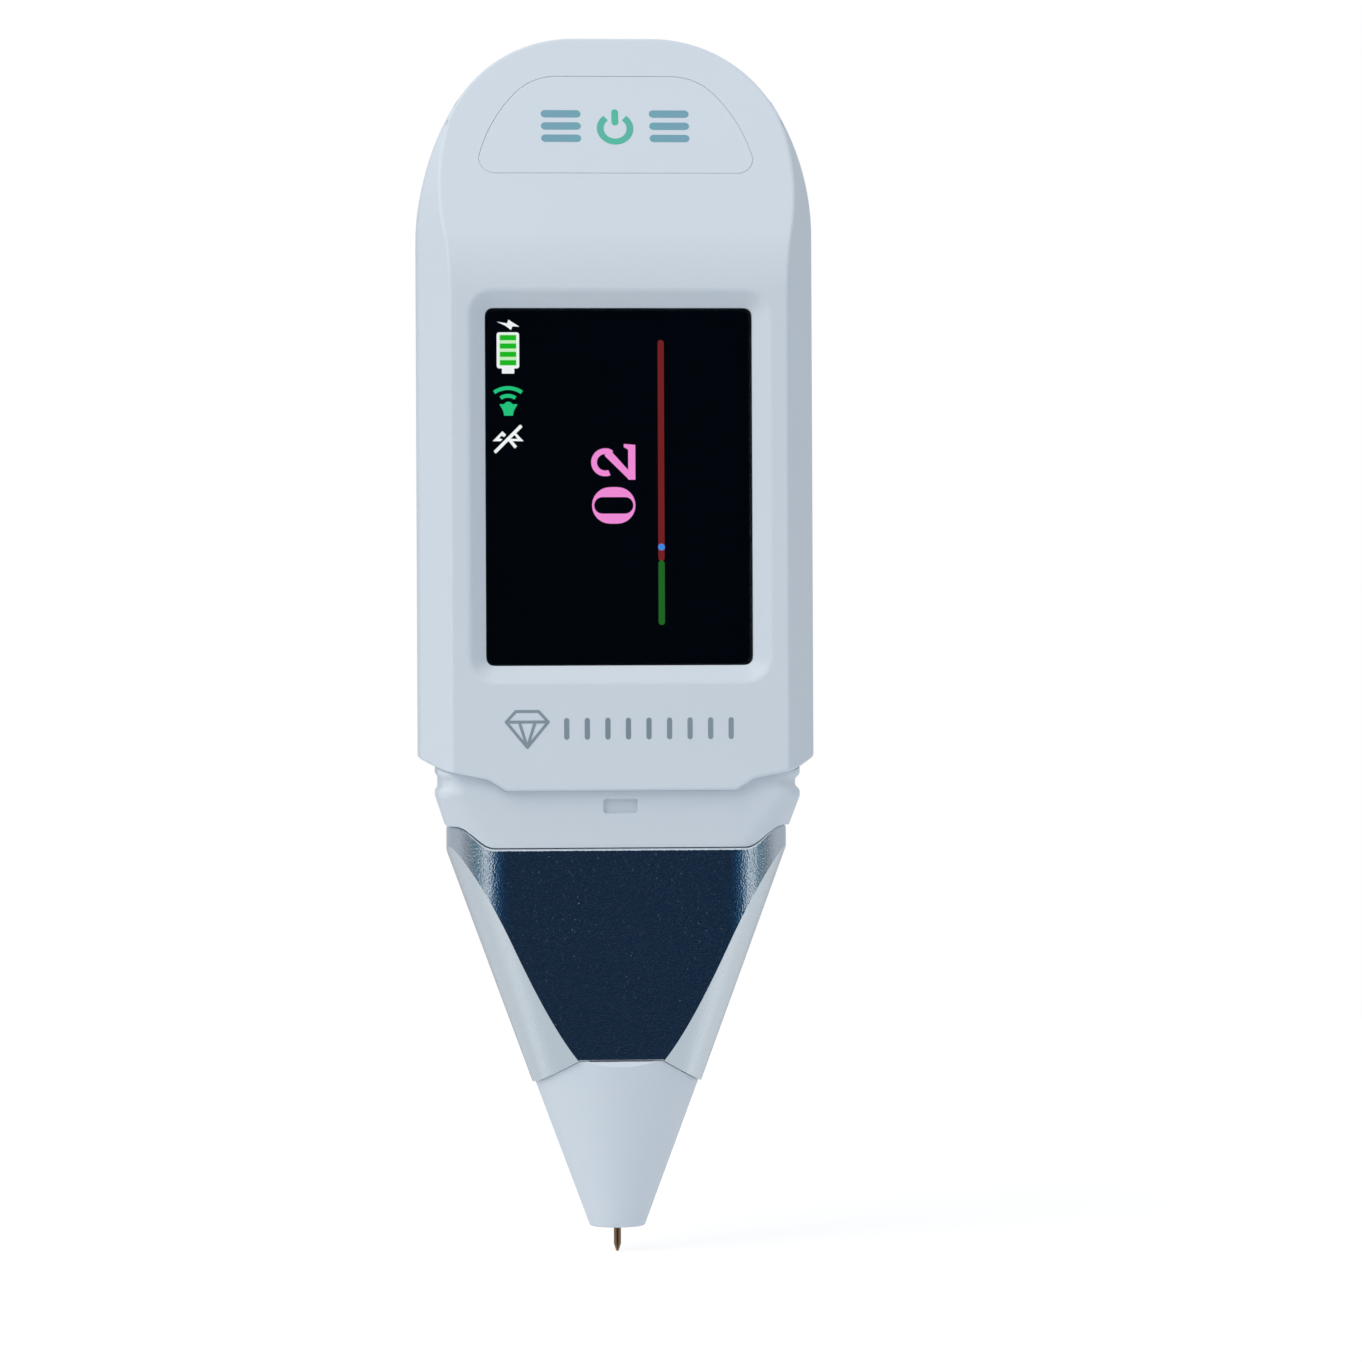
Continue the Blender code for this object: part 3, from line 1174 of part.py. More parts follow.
def make_neck():
    """Make the neck: its band, the core inside the grip, the spigot in the head and two ears."""
    neck = neck_band("neck_body")
    cut(neck, edge_cutter("neck_top_cutter", lower_edge(SEAT_GAP), HEAD_TOP_Z))
    low_edge = [(u, v) for u, v in rim_edge(SEAT_GAP)]
    cut(neck, edge_cutter("neck_foot_cutter", low_edge, MOUTH_Z))
    inset = GRIP_WALL + SEAT_GAP
    core_foot = GRIP_FOOT_Z + FOOT_PEAK_RISE
    core = grip_block("neck_core", inset, core_foot, RIM_Z + SEAT_GAP + TAB_HEIGHT / 2)
    join(neck, core)
    spigot_foot = LIP_Z - SPIGOT_ROOT
    spigot_top = HEAD_FOOT_Z + SPIGOT_RISE
    spigot = head_block("neck_spigot", WALL + SEAT_GAP)
    cut(spigot, face_cutter("spigot_face_cutter", WALL + SEAT_GAP))
    side_size = 2 * HEAD_WIDTH
    keep_inside(spigot, box("spigot_slab", (side_size, side_size, spigot_top - spigot_foot),
                            (0, 0, (spigot_top + spigot_foot) / 2)))
    join(neck, spigot)
    ear_top = HEAD_FOOT_Z + EAR_RISE
    ear_y = -PARTING_DEPTH - SEAT_GAP / 2 - EAR_THICKNESS / 2
    for side in (-1, 1):
        ear = box("neck_ear", (EAR_WIDTH, EAR_THICKNESS, ear_top - spigot_foot),
                  (side * SCREW_X, ear_y, (ear_top + spigot_foot) / 2))
        join(neck, ear)
    pocket_floor = probe_board_foot() - CORE_POCKET_FLOOR_GAP
    pocket = rounded_rectangle(PROBE_BOARD_WIDTH + 2 * SEAT_GAP, CORE_POCKET_THICKNESS,
                               CORE_POCKET_CORNER)
    cut(neck, outline_solid("neck_pocket", pocket, pocket_floor, HEAD_TOP_Z, frame=PLAN_FRAME))
    stem_foot = GRIP_FOOT_Z - CORE_SPIGOT_REACH
    join(neck, drum("core_stem", CORE_SPIGOT_RADIUS, stem_foot, core_foot + WALL,
                    sides=ROUND_SIDES))
    cut(neck, drum("sleeve_bore", SLEEVE_RADIUS + SEAT_GAP, stem_foot - OVERRUN,
                   pocket_floor + OVERRUN, sides=ROUND_SIDES))
    dimple_z = RIM_Z + TAB_HEIGHT + DIMPLE_RISE + DIMPLE_HEIGHT / 2
    cut(neck, box("neck_dimple", (DIMPLE_WIDTH, 2 * DIMPLE_DEPTH, DIMPLE_HEIGHT),
                  (0, -NECK_THICKNESS / 2, dimple_z)))
    contact_y = GRIP_THICKNESS / 2 - inset
    cut(neck, box("contact_pocket",
                  (CONTACT_WIDTH + 2 * SEAT_GAP, 2 * CONTACT_POCKET_DEPTH,
                   CONTACT_LENGTH + 2 * SEAT_GAP), (0, contact_y, 0)))
    for side in (-1, 1):
        cut(neck, drum("ear_hole", SCREW_SHANK_RADIUS + SEAT_GAP, -ear_y - EAR_THICKNESS,
                       -ear_y + EAR_THICKNESS, (side * SCREW_X, HEAD_FOOT_Z + LOWER_SCREW_RISE),
                       frame=FRONT_FRAME))
    shade_round(neck)


def nozzle_radius(height):
    """Return the nozzle's outer radius at a height: beside the grip it keeps to the grip's cone."""
    root = GRIP_FOOT_RADIUS - NOZZLE_STEP
    if height > GRIP_FOOT_Z:
        return root + (height - GRIP_FOOT_Z) * CONE_SLOPE
    return NOZZLE_MOUTH_RADIUS + (root - NOZZLE_MOUTH_RADIUS) * (height - MOUTH_Z) / NOZZLE_LENGTH


def probe_heights():
    """Return the heights of the nozzle's inner ledge, the sleeve's foot and the spring's seats."""
    bush_foot = MOUTH_Z + NOZZLE_FLOOR + SEAT_GAP
    ledge = bush_foot + BUSH_LENGTH - BUSH_FLANGE_THICKNESS - SEAT_GAP
    carrier_foot = bush_foot + BUSH_LENGTH + SEAT_GAP
    shoulder = carrier_foot + CARRIER_LENGTH
    sleeve_foot = ledge + SEAT_GAP
    plug_foot = sleeve_foot + SLEEVE_LENGTH - PLUG_LENGTH
    return bush_foot, ledge, carrier_foot, shoulder, sleeve_foot, plug_foot


def make_nozzle():
    """Make the white nozzle, turned inside and out and cut to meet the grip's lower edge."""
    top = GRIP_FOOT_Z + FOOT_PEAK_RISE
    bush_foot, ledge, _, _, _, _ = probe_heights()
    stem_bore = CORE_SPIGOT_RADIUS + SEAT_GAP
    stem_floor = GRIP_FOOT_Z - CORE_SPIGOT_REACH - SEAT_GAP
    sleeve_bore = SLEEVE_RADIUS + SEAT_GAP
    bush_bore = BUSH_RADIUS + SEAT_GAP
    profile = [
        (nozzle_radius(top), top),
        (nozzle_radius(GRIP_FOOT_Z), GRIP_FOOT_Z),
        (nozzle_radius(MOUTH_Z + NOZZLE_EDGE), MOUTH_Z + NOZZLE_EDGE),
        (nozzle_radius(MOUTH_Z) - NOZZLE_EDGE, MOUTH_Z),
        (2 * NEEDLE_RADIUS, MOUTH_Z),
        (2 * NEEDLE_RADIUS, MOUTH_Z + NOZZLE_FLOOR),
        (bush_bore, MOUTH_Z + NOZZLE_FLOOR),
        (bush_bore, ledge),
        (sleeve_bore, ledge),
        (sleeve_bore, stem_floor),
        (stem_bore, stem_floor),
        (stem_bore, top),
    ]
    nozzle = turned("nozzle", profile, WHITE_ABS, CONE_SIDES, closed=True)
    cut(nozzle, edge_cutter("nozzle_top_cutter", foot_edge(-SEAT_GAP), RIM_Z))
    face = GRIP_THICKNESS / 2
    peak = top - SEAT_GAP
    for side in (-1, 1):
        drop = NOZZLE_SHOULDER
        far = HEAD_WIDTH
        points = [(side * (face - drop), peak + drop), (side * (face + far), peak - far),
                  (side * (face + far), peak + drop)]
        cut(nozzle, outline_solid("nozzle_chamfer", points, -far, far, frame=SIDE_FRAME))
    shade_round(nozzle)


def make_probe():
    """Make the sprung needle, its carrier and the sleeve, bush, spring and plug round them."""
    bush_foot, _, carrier_foot, shoulder, sleeve_foot, plug_foot = probe_heights()
    needle_top = carrier_foot + NEEDLE_HOLD
    turned("probe_needle", [
        (0, needle_top),
        (NEEDLE_RADIUS, needle_top),
        (NEEDLE_RADIUS, TIP_Z + NEEDLE_TAPER),
        (NEEDLE_END_RADIUS, TIP_Z + NEEDLE_END_RADIUS / 2),
        (NEEDLE_END_RADIUS / 2, TIP_Z),
        (0, TIP_Z),
    ], COPPER, SMALL_SIDES)
    sleeve_bore = SLEEVE_RADIUS - SLEEVE_WALL
    carrier_radius = sleeve_bore - RUNNING_GAP
    hold_radius = NEEDLE_RADIUS + NEEDLE_STEP_RADIUS
    heater_foot = needle_top + SEAT_GAP
    drum("probe_heater", HEATER_RADIUS, heater_foot, heater_foot + HEATER_LENGTH,
         finish=BLACK_PLASTIC, sides=HOLE_SIDES)
    hold_top = heater_foot + HEATER_LENGTH + SEAT_GAP
    turned("probe_carrier", [
        (0, shoulder + CARRIER_TAIL_LENGTH),
        (CARRIER_TAIL_RADIUS, shoulder + CARRIER_TAIL_LENGTH),
        (CARRIER_TAIL_RADIUS, shoulder),
        (carrier_radius, shoulder),
        (carrier_radius, carrier_foot),
        (hold_radius, carrier_foot),
        (hold_radius, hold_top),
        (0, hold_top),
    ], WHITE_RESIN, ROUND_SIDES)
    turned("probe_bush", [
        (BUSH_FLANGE_RADIUS, bush_foot + BUSH_LENGTH),
        (BUSH_FLANGE_RADIUS, bush_foot + BUSH_LENGTH - BUSH_FLANGE_THICKNESS),
        (BUSH_RADIUS, bush_foot + BUSH_LENGTH - BUSH_FLANGE_THICKNESS),
        (BUSH_RADIUS, bush_foot),
        (NEEDLE_RADIUS + RUNNING_GAP, bush_foot),
        (NEEDLE_RADIUS + RUNNING_GAP, bush_foot + BUSH_LENGTH),
    ], BRASS, SMALL_SIDES, closed=True)
    sleeve_top = sleeve_foot + SLEEVE_LENGTH
    turned("probe_sleeve", [
        (SLEEVE_RADIUS, sleeve_top),
        (SLEEVE_RADIUS, sleeve_foot),
        (sleeve_bore, sleeve_foot),
        (sleeve_bore, sleeve_top),
    ], STEEL, ROUND_SIDES, closed=True)
    plug_radius = sleeve_bore - SEAT_GAP
    turned("probe_plug", [
        (SLEEVE_RADIUS, sleeve_top + SEAT_GAP + WALL / 2),
        (SLEEVE_RADIUS, sleeve_top + SEAT_GAP),
        (plug_radius, sleeve_top + SEAT_GAP),
        (plug_radius, plug_foot),
        (PLUG_HOLE_RADIUS, plug_foot),
        (PLUG_HOLE_RADIUS, sleeve_top + SEAT_GAP + WALL / 2),
    ], BRASS, ROUND_SIDES, closed=True)
    make_probe_spring(shoulder + SEAT_GAP, plug_foot - SEAT_GAP)
    make_probe_board(sleeve_top + SEAT_GAP + WALL / 2)


def make_probe_spring(low, high):
    """Wind the probe's compression spring between its two seats, as one unbroken wire."""
    foot = low + SPRING_WIRE_RADIUS
    rise = high - SPRING_WIRE_RADIUS - foot
    count = SPRING_TURNS * SPRING_POINTS_PER_TURN
    path = []
    for step in range(count + 1):
        angle = 2 * pi * step / SPRING_POINTS_PER_TURN
        path.append((SPRING_RADIUS * cos(angle), SPRING_RADIUS * sin(angle),
                     foot + rise * step / count))
    tube("probe_spring", path, SPRING_WIRE_RADIUS, STEEL, resolution=1)
    least_gap = rise / SPRING_TURNS - 2 * SPRING_WIRE_RADIUS
    print("least gap between the spring's turns:", round(least_gap, 6), "m")


def probe_board_foot():
    """Return the height of the amplifier board's lower edge."""
    sleeve_top = probe_heights()[4] + SLEEVE_LENGTH
    return sleeve_top + SEAT_GAP + WALL / 2 + PROBE_LEAD_SPACING


def make_probe_board(plug_top):
    """Make the amplifier board above the probe, its chip and its leads."""
    foot = probe_board_foot()
    middle_z = foot + PROBE_BOARD_LENGTH / 2
    box("probe_board", (PROBE_BOARD_WIDTH, PROBE_BOARD_THICKNESS, PROBE_BOARD_LENGTH),
        (0, 0, middle_z), GREEN_BOARD)
    chip_y = PROBE_BOARD_THICKNESS / 2 + SEAT_GAP + CHIP_HEIGHT / 2
    box("amplifier_chip", (AMPLIFIER_SIZE, CHIP_HEIGHT, AMPLIFIER_SIZE), (0, chip_y, middle_z),
        BLACK_PLASTIC, CHIP_EDGE)
    for name, side, finish in (("probe_lead_red", 1, RED_LEAD), ("probe_lead_black", -1, BLACK_LEAD)):
        near = side * (PROBE_LEAD_RADIUS + RUNNING_GAP)
        far = side * PROBE_LEAD_SPACING / 2
        rise = foot - SEAT_GAP - plug_top
        path = [(near, 0, plug_top - PLUG_LENGTH / 2), (near, 0, plug_top)]
        for step in range(1, ROUND_STEPS + 1):
            share = step / ROUND_STEPS
            sweep = (1 - cos(pi * share)) / 2
            path.append((near + (far - near) * sweep, 0, plug_top + rise * share))
        tube(name, path, PROBE_LEAD_RADIUS, finish)


def main():
    """Build every piece of the tester."""
    make_shells()
    make_screws()
    make_key()
    make_screen()
    make_boards()
    make_links()
    make_battery()
    make_buzzer()
    make_charge_socket()
    make_grip()
    make_neck()
    make_nozzle()
    make_probe()


main()
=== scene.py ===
"""Looks of a hand-held diamond tester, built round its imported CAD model.

The outer pieces are modelled again here with finer edges and take the place of
their nodes. The inner nodes keep their shape, and every piece gets the finish
of its real material. The tester stands on its needle, with the screen towards
-Y and the origin at the middle of the metal grip. Lengths are in metres.
"""

from __future__ import annotations

import logging
import math
from contextlib import contextmanager
from dataclasses import dataclass
from enum import Enum
from typing import Callable, Iterator, Sequence

import bmesh
import bpy
from mathutils import Matrix, Quaternion, Vector

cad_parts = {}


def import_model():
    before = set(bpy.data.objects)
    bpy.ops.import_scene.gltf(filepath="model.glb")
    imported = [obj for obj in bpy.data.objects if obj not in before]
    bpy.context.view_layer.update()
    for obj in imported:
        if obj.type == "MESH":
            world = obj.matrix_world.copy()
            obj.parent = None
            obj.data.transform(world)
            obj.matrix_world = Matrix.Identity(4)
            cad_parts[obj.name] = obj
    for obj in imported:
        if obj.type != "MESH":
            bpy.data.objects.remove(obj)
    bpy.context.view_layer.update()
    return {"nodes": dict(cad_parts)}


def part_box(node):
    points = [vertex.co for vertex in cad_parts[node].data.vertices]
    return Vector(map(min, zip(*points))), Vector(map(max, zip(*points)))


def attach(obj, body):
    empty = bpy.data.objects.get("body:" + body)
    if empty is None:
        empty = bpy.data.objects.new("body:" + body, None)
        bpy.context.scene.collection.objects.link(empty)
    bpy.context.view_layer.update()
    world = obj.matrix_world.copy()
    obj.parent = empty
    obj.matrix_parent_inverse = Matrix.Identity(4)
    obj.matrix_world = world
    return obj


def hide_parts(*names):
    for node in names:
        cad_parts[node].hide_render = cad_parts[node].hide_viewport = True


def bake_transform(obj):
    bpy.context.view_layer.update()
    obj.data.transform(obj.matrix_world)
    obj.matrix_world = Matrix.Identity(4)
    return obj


MM = 0.001
TINY = 0.002 * MM       # points closer than this are one
REACH = 30 * MM         # how far a cutter runs past the tester in depth
HALF_ROUND = 2.01       # a width over this is the largest corner radius that it takes
LOG = logging.getLogger("diamond_tester")

Point = tuple[float, float]
Colour = tuple[float, float, float, float]
Socket = bpy.types.NodeSocket


class Body(Enum):
    """A body of the frame that pieces ride on."""

    HOUSING = "housing"
    KEY = "key"
    PROBE = "probe"


class Slot(Enum):
    """A material slot of the record."""

    WHITE_ABS = "white_abs"
    WHITE_KEY = "white_key"
    WHITE_NOZZLE = "white_nozzle"
    SATIN_CHROME = "satin_chrome"
    DISPLAY_PANEL = "display_panel"
    BLACK_PLASTIC = "black_plastic"
    STEEL = "steel"
    BRASS = "brass"
    COPPER = "copper"


class Sum(Enum):
    """A way to put two solids together."""

    UNION = "UNION"
    DIFFERENCE = "DIFFERENCE"
    INTERSECT = "INTERSECT"


class Plane(Enum):
    """A plane to draw in: the turn of a sheet that lies in it, and its anticlockwise spin axis."""

    FRONT = ((math.pi / 2, 0.0, 0.0), (0, 1, 0))
    PLAN = ((0.0, 0.0, 0.0), (0, 0, -1))
    SIDE = ((math.pi / 2, 0.0, math.pi / 2), (-1, 0, 0))

    def __init__(self, turn: tuple[float, ...], spin_axis: tuple[int, ...]) -> None:
        """Name the two values of a plane."""
        self.turn = turn
        self.spin_axis = Vector(spin_axis)

    def place(self, point: Point, level: float) -> Vector:
        """Return a point of the plane in space, at a level along Y, Z or X.

        Args:
            point: The point in the plane.
            level: The plane's place square to itself.

        Returns:
            The point in space.
        """
        across, up = point
        if self is Plane.FRONT:
            return Vector((across, level, up))
        if self is Plane.PLAN:
            return Vector((across, up, level))
        return Vector((level, across, up))


@dataclass(frozen=True)
class Line:
    """A straight stretch of an outline, up to a point."""

    to: Point


@dataclass(frozen=True)
class Turn:
    """A round stretch of an outline, about a centre and anticlockwise if positive."""

    centre: Point
    degrees: float
    steps: int


Path = Sequence[Line | Turn]
Test = Callable[[Vector], bool]


def mm(*lengths: float) -> tuple[float, ...]:
    """Turn lengths in millimetres into metres."""
    return tuple(length * MM for length in lengths)


def metres(points: Sequence[Point]) -> list[Point]:
    """Turn points in millimetres into metres."""
    return [mm(*point) for point in points]


def lines(*points: Point) -> list[Line]:
    """Return straight stretches through points in millimetres."""
    return [Line(point) for point in metres(points)]


def mirrored(points: Sequence[Point]) -> list[Point]:
    """Return an outline's points mirrored to the left, from the last to the first."""
    return [(-across, up) for across, up in reversed(points)]


def middle_of(node: str) -> Vector:
    """Return the middle of a CAD node's box."""
    return sum(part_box(node), Vector()) / 2


def front_place(node: str) -> Point:
    """Return the middle of a CAD node's box as seen from the front, across and up."""
    middle = middle_of(node)
    return middle.x, middle.z


def clear_selection() -> None:
    """Leave edit mode and deselect every object."""
    if bpy.context.object is not None and bpy.context.object.mode != "OBJECT":
        bpy.ops.object.mode_set(mode="OBJECT")
    bpy.ops.object.select_all(action="DESELECT")


def linear(colour: str) -> Colour:
    """Turn an sRGB colour, as "#RRGGBB", into linear light with an alpha of 1.

    Args:
        colour: The colour, as sRGB hex.

    Returns:
        Red, green, blue and alpha.
    """
    parts = [int(colour[place:place + 2], 16) / 255 for place in (1, 3, 5)]
    red, green, blue = (part / 12.92 if part <= 0.04045 else ((part + 0.055) / 1.055) ** 2.4
                        for part in parts)
    return red, green, blue, 1.0


class Workpiece:
    """A mesh in the making, shaped with Blender's own modelling operators."""

    def __init__(self, name: str, obj: bpy.types.Object | None = None) -> None:
        """Take hold of an object, or of the active one, and name it.

        Args:
            name: The piece's name.
            obj: The object that holds the mesh.
        """
        self.obj = obj or bpy.context.object
        self.obj.name = name
        self.obj.data.name = name
        self.crease = 31.0

    @classmethod
    def sheet(cls, name: str, plane: Plane, centre: Point, size: Point, level: float,
              corner: float = 0.0, steps: int = 8) -> Workpiece:
        """Add a flat rectangle, with round corners if asked.

        Args:
            name: The piece's name.
            plane: The plane that it lies in.
            centre: Its middle in the plane.
            size: Its two sizes in the plane.
            level: The plane's place square to itself.
            corner: The radius of its corners.
            steps: The straight pieces in each corner.

        Returns:
            The piece, with its one face selected.
        """
        clear_selection()
        bpy.ops.mesh.primitive_plane_add(size=1, rotation=plane.turn,
                                         location=plane.place(centre, level))
        piece = cls(name)
        piece.obj.scale = (*size, 1)
        bpy.ops.object.transform_apply(location=True, rotation=True, scale=True)
        if corner:
            with piece.editing(everything=True):
                bpy.ops.mesh.bevel(offset=corner, segments=steps, affect="VERTICES",
                                   clamp_overlap=False)
        return piece

    @classmethod
    def slab(cls, name: str, plane: Plane, centre: Point, size: Point, low: float, high: float,
             corner: float = 0.0, steps: int = 8) -> Workpiece:
        """Add a rectangular block between two levels, with round corners if asked.

        Args:
            name: The piece's name.
            plane: The plane that its outline lies in.
            centre: Its middle in the plane.
            size: Its two sizes in the plane.
            low: The level that it starts at.
            high: The level that it reaches.
            corner: The radius of its corners.
            steps: The straight pieces in each corner.

        Returns:
            The closed solid.
        """
        block = cls.sheet(name, plane, centre, size, low, corner, steps)
        with block.editing():
            block.weld(TINY / 10)
            block.extrude(plane.place((0.0, 0.0), high - low))
        block.face_outwards()
        return block

    @classmethod
    def lofted(cls, name: str, sections: Sequence[tuple[float, float, float, float]],
               steps: int = 12) -> Workpiece:
        """Bridge round-cornered rectangles at rising levels into a solid.

        Args:
            name: The piece's name.
            sections: The height, half width, half depth and corner radius of each.
            steps: The straight pieces in each corner.

        Returns:
            The closed solid.
        """
        rings = [cls.sheet(f"{name}_{index}", Plane.PLAN, (0.0, 0.0), (2 * across, 2 * deep),
                           level, corner, steps)
                 for index, (level, across, deep, corner) in enumerate(sections)]
        clear_selection()
        for ring in rings:
            ring.obj.select_set(True)
        bpy.context.view_layer.objects.active = rings[0].obj
        bpy.ops.object.join()
        piece = cls(name, rings[0].obj)
        levels = [section[0] for section in sections]
        with piece.editing():
            piece.pick_faces(lambda middle, normal:
                             levels[0] + TINY < middle.z < levels[-1] - TINY)
            bpy.ops.mesh.delete(type="ONLY_FACE")
            for low, high in zip(levels, levels[1:]):
                piece.pick_edges(lambda end: min(abs(end.z - low), abs(end.z - high)) < TINY)
                bpy.ops.mesh.bridge_edge_loops()
        piece.face_outwards()
        return piece

    @classmethod
    def drawn(cls, name: str, plane: Plane, start: Point, path: Path, level: float) -> Workpiece:
        """Draw a line of edges from a point, by extruding it and by spinning it.

        Args:
            name: The piece's name.
            plane: The plane to draw in.
            start: The first point.
            path: The straight and round stretches that follow.
            level: The plane's place square to itself.

        Returns:
            The piece, as a chain of edges.
        """
        clear_selection()
        bpy.ops.mesh.primitive_plane_add(size=MM, location=plane.place(start, level))
        piece = cls(name)
        bpy.ops.object.transform_apply(location=True, rotation=True, scale=True)
        here = start
        with piece.editing(everything=True):
            bpy.ops.mesh.merge(type="CENTER")
            for part in path:
                if isinstance(part, Line):
                    piece.extrude(plane.place(part.to, level) - plane.place(here, level))
                    here = part.to
                    continue
                angle = math.radians(part.degrees)
                bpy.ops.mesh.spin(steps=part.steps, angle=angle, axis=plane.spin_axis,
                                  center=plane.place(part.centre, level))
                arm = (here[0] - part.centre[0], here[1] - part.centre[1])
                here = (part.centre[0] + arm[0] * math.cos(angle) - arm[1] * math.sin(angle),
                        part.centre[1] + arm[0] * math.sin(angle) + arm[1] * math.cos(angle))
        return piece

    @classmethod
    def arched(cls, name: str, plane: Plane, start: Point, path: Path, level: float) -> Workpiece:
        """Draw the right half of an outline, mirror it and fill it.

        Args:
            name: The piece's name.
            plane: The plane to draw in.
            start: The half's first point, on the middle line.
            path: The stretches that lead back to the middle line.
            level: The plane's place square to itself.

        Returns:
            The piece, with its one face selected.
        """
        piece = cls.drawn(name, plane, start, path, level)
        piece.apply("MIRROR", merge_threshold=TINY)
        with piece.editing():
            piece.weld()
            bpy.ops.mesh.edge_face_add()
        return piece

    @classmethod
    def prism(cls, name: str, plane: Plane, start: Point, path: Path, low: float,
              high: float) -> Workpiece:
        """Draw a closed outline, fill it and extrude it square to its plane.

        Args:
            name: The piece's name.
            plane: The plane of the outline.
            start: The outline's first point.
            path: The stretches that lead back to it.
            low: The level that it starts at.
            high: The level that it reaches.

        Returns:
            The closed solid.
        """
        piece = cls.drawn(name, plane, start, path, low)
        with piece.editing():
            piece.weld()
            bpy.ops.mesh.edge_face_add()
            piece.extrude(plane.place((0.0, 0.0), high - low))
        piece.face_outwards()
        return piece

    @classmethod
    def polygon(cls, name: str, plane: Plane, points: Sequence[Point], low: float,
                high: float) -> Workpiece:
        """Model a prism with straight sides through its corner points, between two levels."""
        path = [Line(point) for point in (*points[1:], points[0])]
        return cls.prism(name, plane, points[0], path, low, high)

    @classmethod
    def drum(cls, name: str, place: Point, radius: float, low: float, high: float,
             sides: int = 48, plane: Plane = Plane.FRONT) -> Workpiece:
        """Model a plain drum between two levels, square to its plane.

        Args:
            name: The piece's name.
            place: Its middle in the plane.
            radius: Its radius.
            low: The level that it starts at.
            high: The level that it reaches.
            sides: The straight pieces in the round.
            plane: The plane that its ends lie in.

        Returns:
            The drum.
        """
        return cls.prism(name, plane, (place[0] + radius, place[1]), [Turn(place, 360, sides)],
                         low, high)

    @classmethod
    def turned(cls, name: str, start: Point, path: Path, steps: int = 96) -> Workpiece:
        """Turn a profile about the needle's axis.

        Args:
            name: The piece's name.
            start: The profile's first point, as a radius and a height.
            path: The stretches that follow.
            steps: The straight pieces in the full round.

        Returns:
            The closed solid.
        """
        piece = cls.drawn(name, Plane.FRONT, start, path, 0.0)
        with piece.editing():
            piece.weld()
            bpy.ops.mesh.spin(steps=steps, angle=2 * math.pi, center=(0, 0, 0), axis=(0, 0, 1))
            piece.weld()
        piece.face_outwards()
        return piece

    def take(self) -> None:
        """Select this piece alone and make it the active one."""
        clear_selection()
        self.obj.select_set(True)
        bpy.context.view_layer.objects.active = self.obj

    @contextmanager
    def editing(self, everything: bool = False) -> Iterator[None]:
        """Open the mesh in edit mode, with everything selected if asked, and close it again.

        Args:
            everything: Whether everything is selected first.

        Returns:
            A context in which the mesh is edited.
        """
        self.take()
        bpy.ops.object.mode_set(mode="EDIT")
        bpy.ops.mesh.select_mode(type="VERT")
        if everything:
            bpy.ops.mesh.select_all(action="SELECT")
        try:
            yield
        finally:
            bpy.ops.object.mode_set(mode="OBJECT")

    def weld(self, gap: float = TINY) -> None:
        """Select everything and merge the points closer than a gap, in edit mode."""
        bpy.ops.mesh.select_all(action="SELECT")
        bpy.ops.mesh.remove_doubles(threshold=gap)

    def extrude(self, move: Vector) -> None:
        """Extrude what is selected by a move, in edit mode."""
        bpy.ops.mesh.extrude_region_move(TRANSFORM_OT_translate={"value": move})

    def recalculate(self) -> None:
        """Turn every face of a closed mesh outwards, in edit mode."""
        bpy.ops.mesh.select_all(action="SELECT")
        bpy.ops.mesh.normals_make_consistent(inside=False)

    def face_outwards(self) -> None:
        """Turn every face of a closed solid outwards."""
        with self.editing():
            self.recalculate()

    def pick(self, mode: str, choose: Callable[[bmesh.types.BMesh], list]) -> int:
        """Select some of the mesh's elements, in edit mode.

        Args:
            mode: The kind of element, FACE or EDGE.
            choose: Returns the wanted elements of the mesh.

        Returns:
            The number of elements selected.
        """
        bpy.ops.mesh.select_mode(type=mode)
        bpy.ops.mesh.select_all(action="DESELECT")
        mesh = bmesh.from_edit_mesh(self.obj.data)
        wanted = choose(mesh)
        for element in wanted:
            element.select_set(True)
        bmesh.update_edit_mesh(self.obj.data)
        return len(wanted)

    def pick_faces(self, test: Callable[[Vector, Vector], bool]) -> int:
        """Select the faces whose middle and normal pass a test, and return their number."""
        return self.pick("FACE", lambda mesh: [
            face for face in mesh.faces if test(face.calc_center_median(), face.normal)])

    def pick_edges(self, test: Test, sharper: float = 0.0) -> int:
        """Select the edges whose two ends pass a test, and return their number.

        Args:
            test: Tells from an end's place whether it is wanted.
            sharper: The least angle between an edge's faces, in degrees.

        Returns:
            The number of edges selected.
        """
        least = math.radians(sharper)
        return self.pick("EDGE", lambda mesh: [
            edge for edge in mesh.edges if all(test(end.co) for end in edge.verts)
            and edge.calc_face_angle(0.0) >= least])

    def soften(self, test: Test, width: float, steps: int = 3, sharper: float = 0.0) -> None:
        """Round the edges whose two ends pass a test.

        Args:
            test: Tells from an end's place whether it is wanted.
            width: How far the rounding reaches from the edge.
            steps: The straight pieces in the rounding.
            sharper: The least angle between an edge's faces, in degrees.
        """
        with self.editing():
            if self.pick_edges(test, sharper):
                bpy.ops.mesh.bevel(offset=width, segments=steps, affect="EDGES", profile=0.5,
                                   clamp_overlap=False)
            else:
                LOG.warning("%s: no edge to round", self.obj.name)

    def split(self, place: Vector, normal: Vector) -> None:
        """Cut the solid along a plane and close it, keeping what lies behind the normal.

        Args:
            place: A point of the plane.
            normal: The way to the side that goes.
        """
        with self.editing(everything=True):
            bpy.ops.mesh.bisect(plane_co=place, plane_no=normal, use_fill=True, clear_outer=True,
                                threshold=TINY / 10)

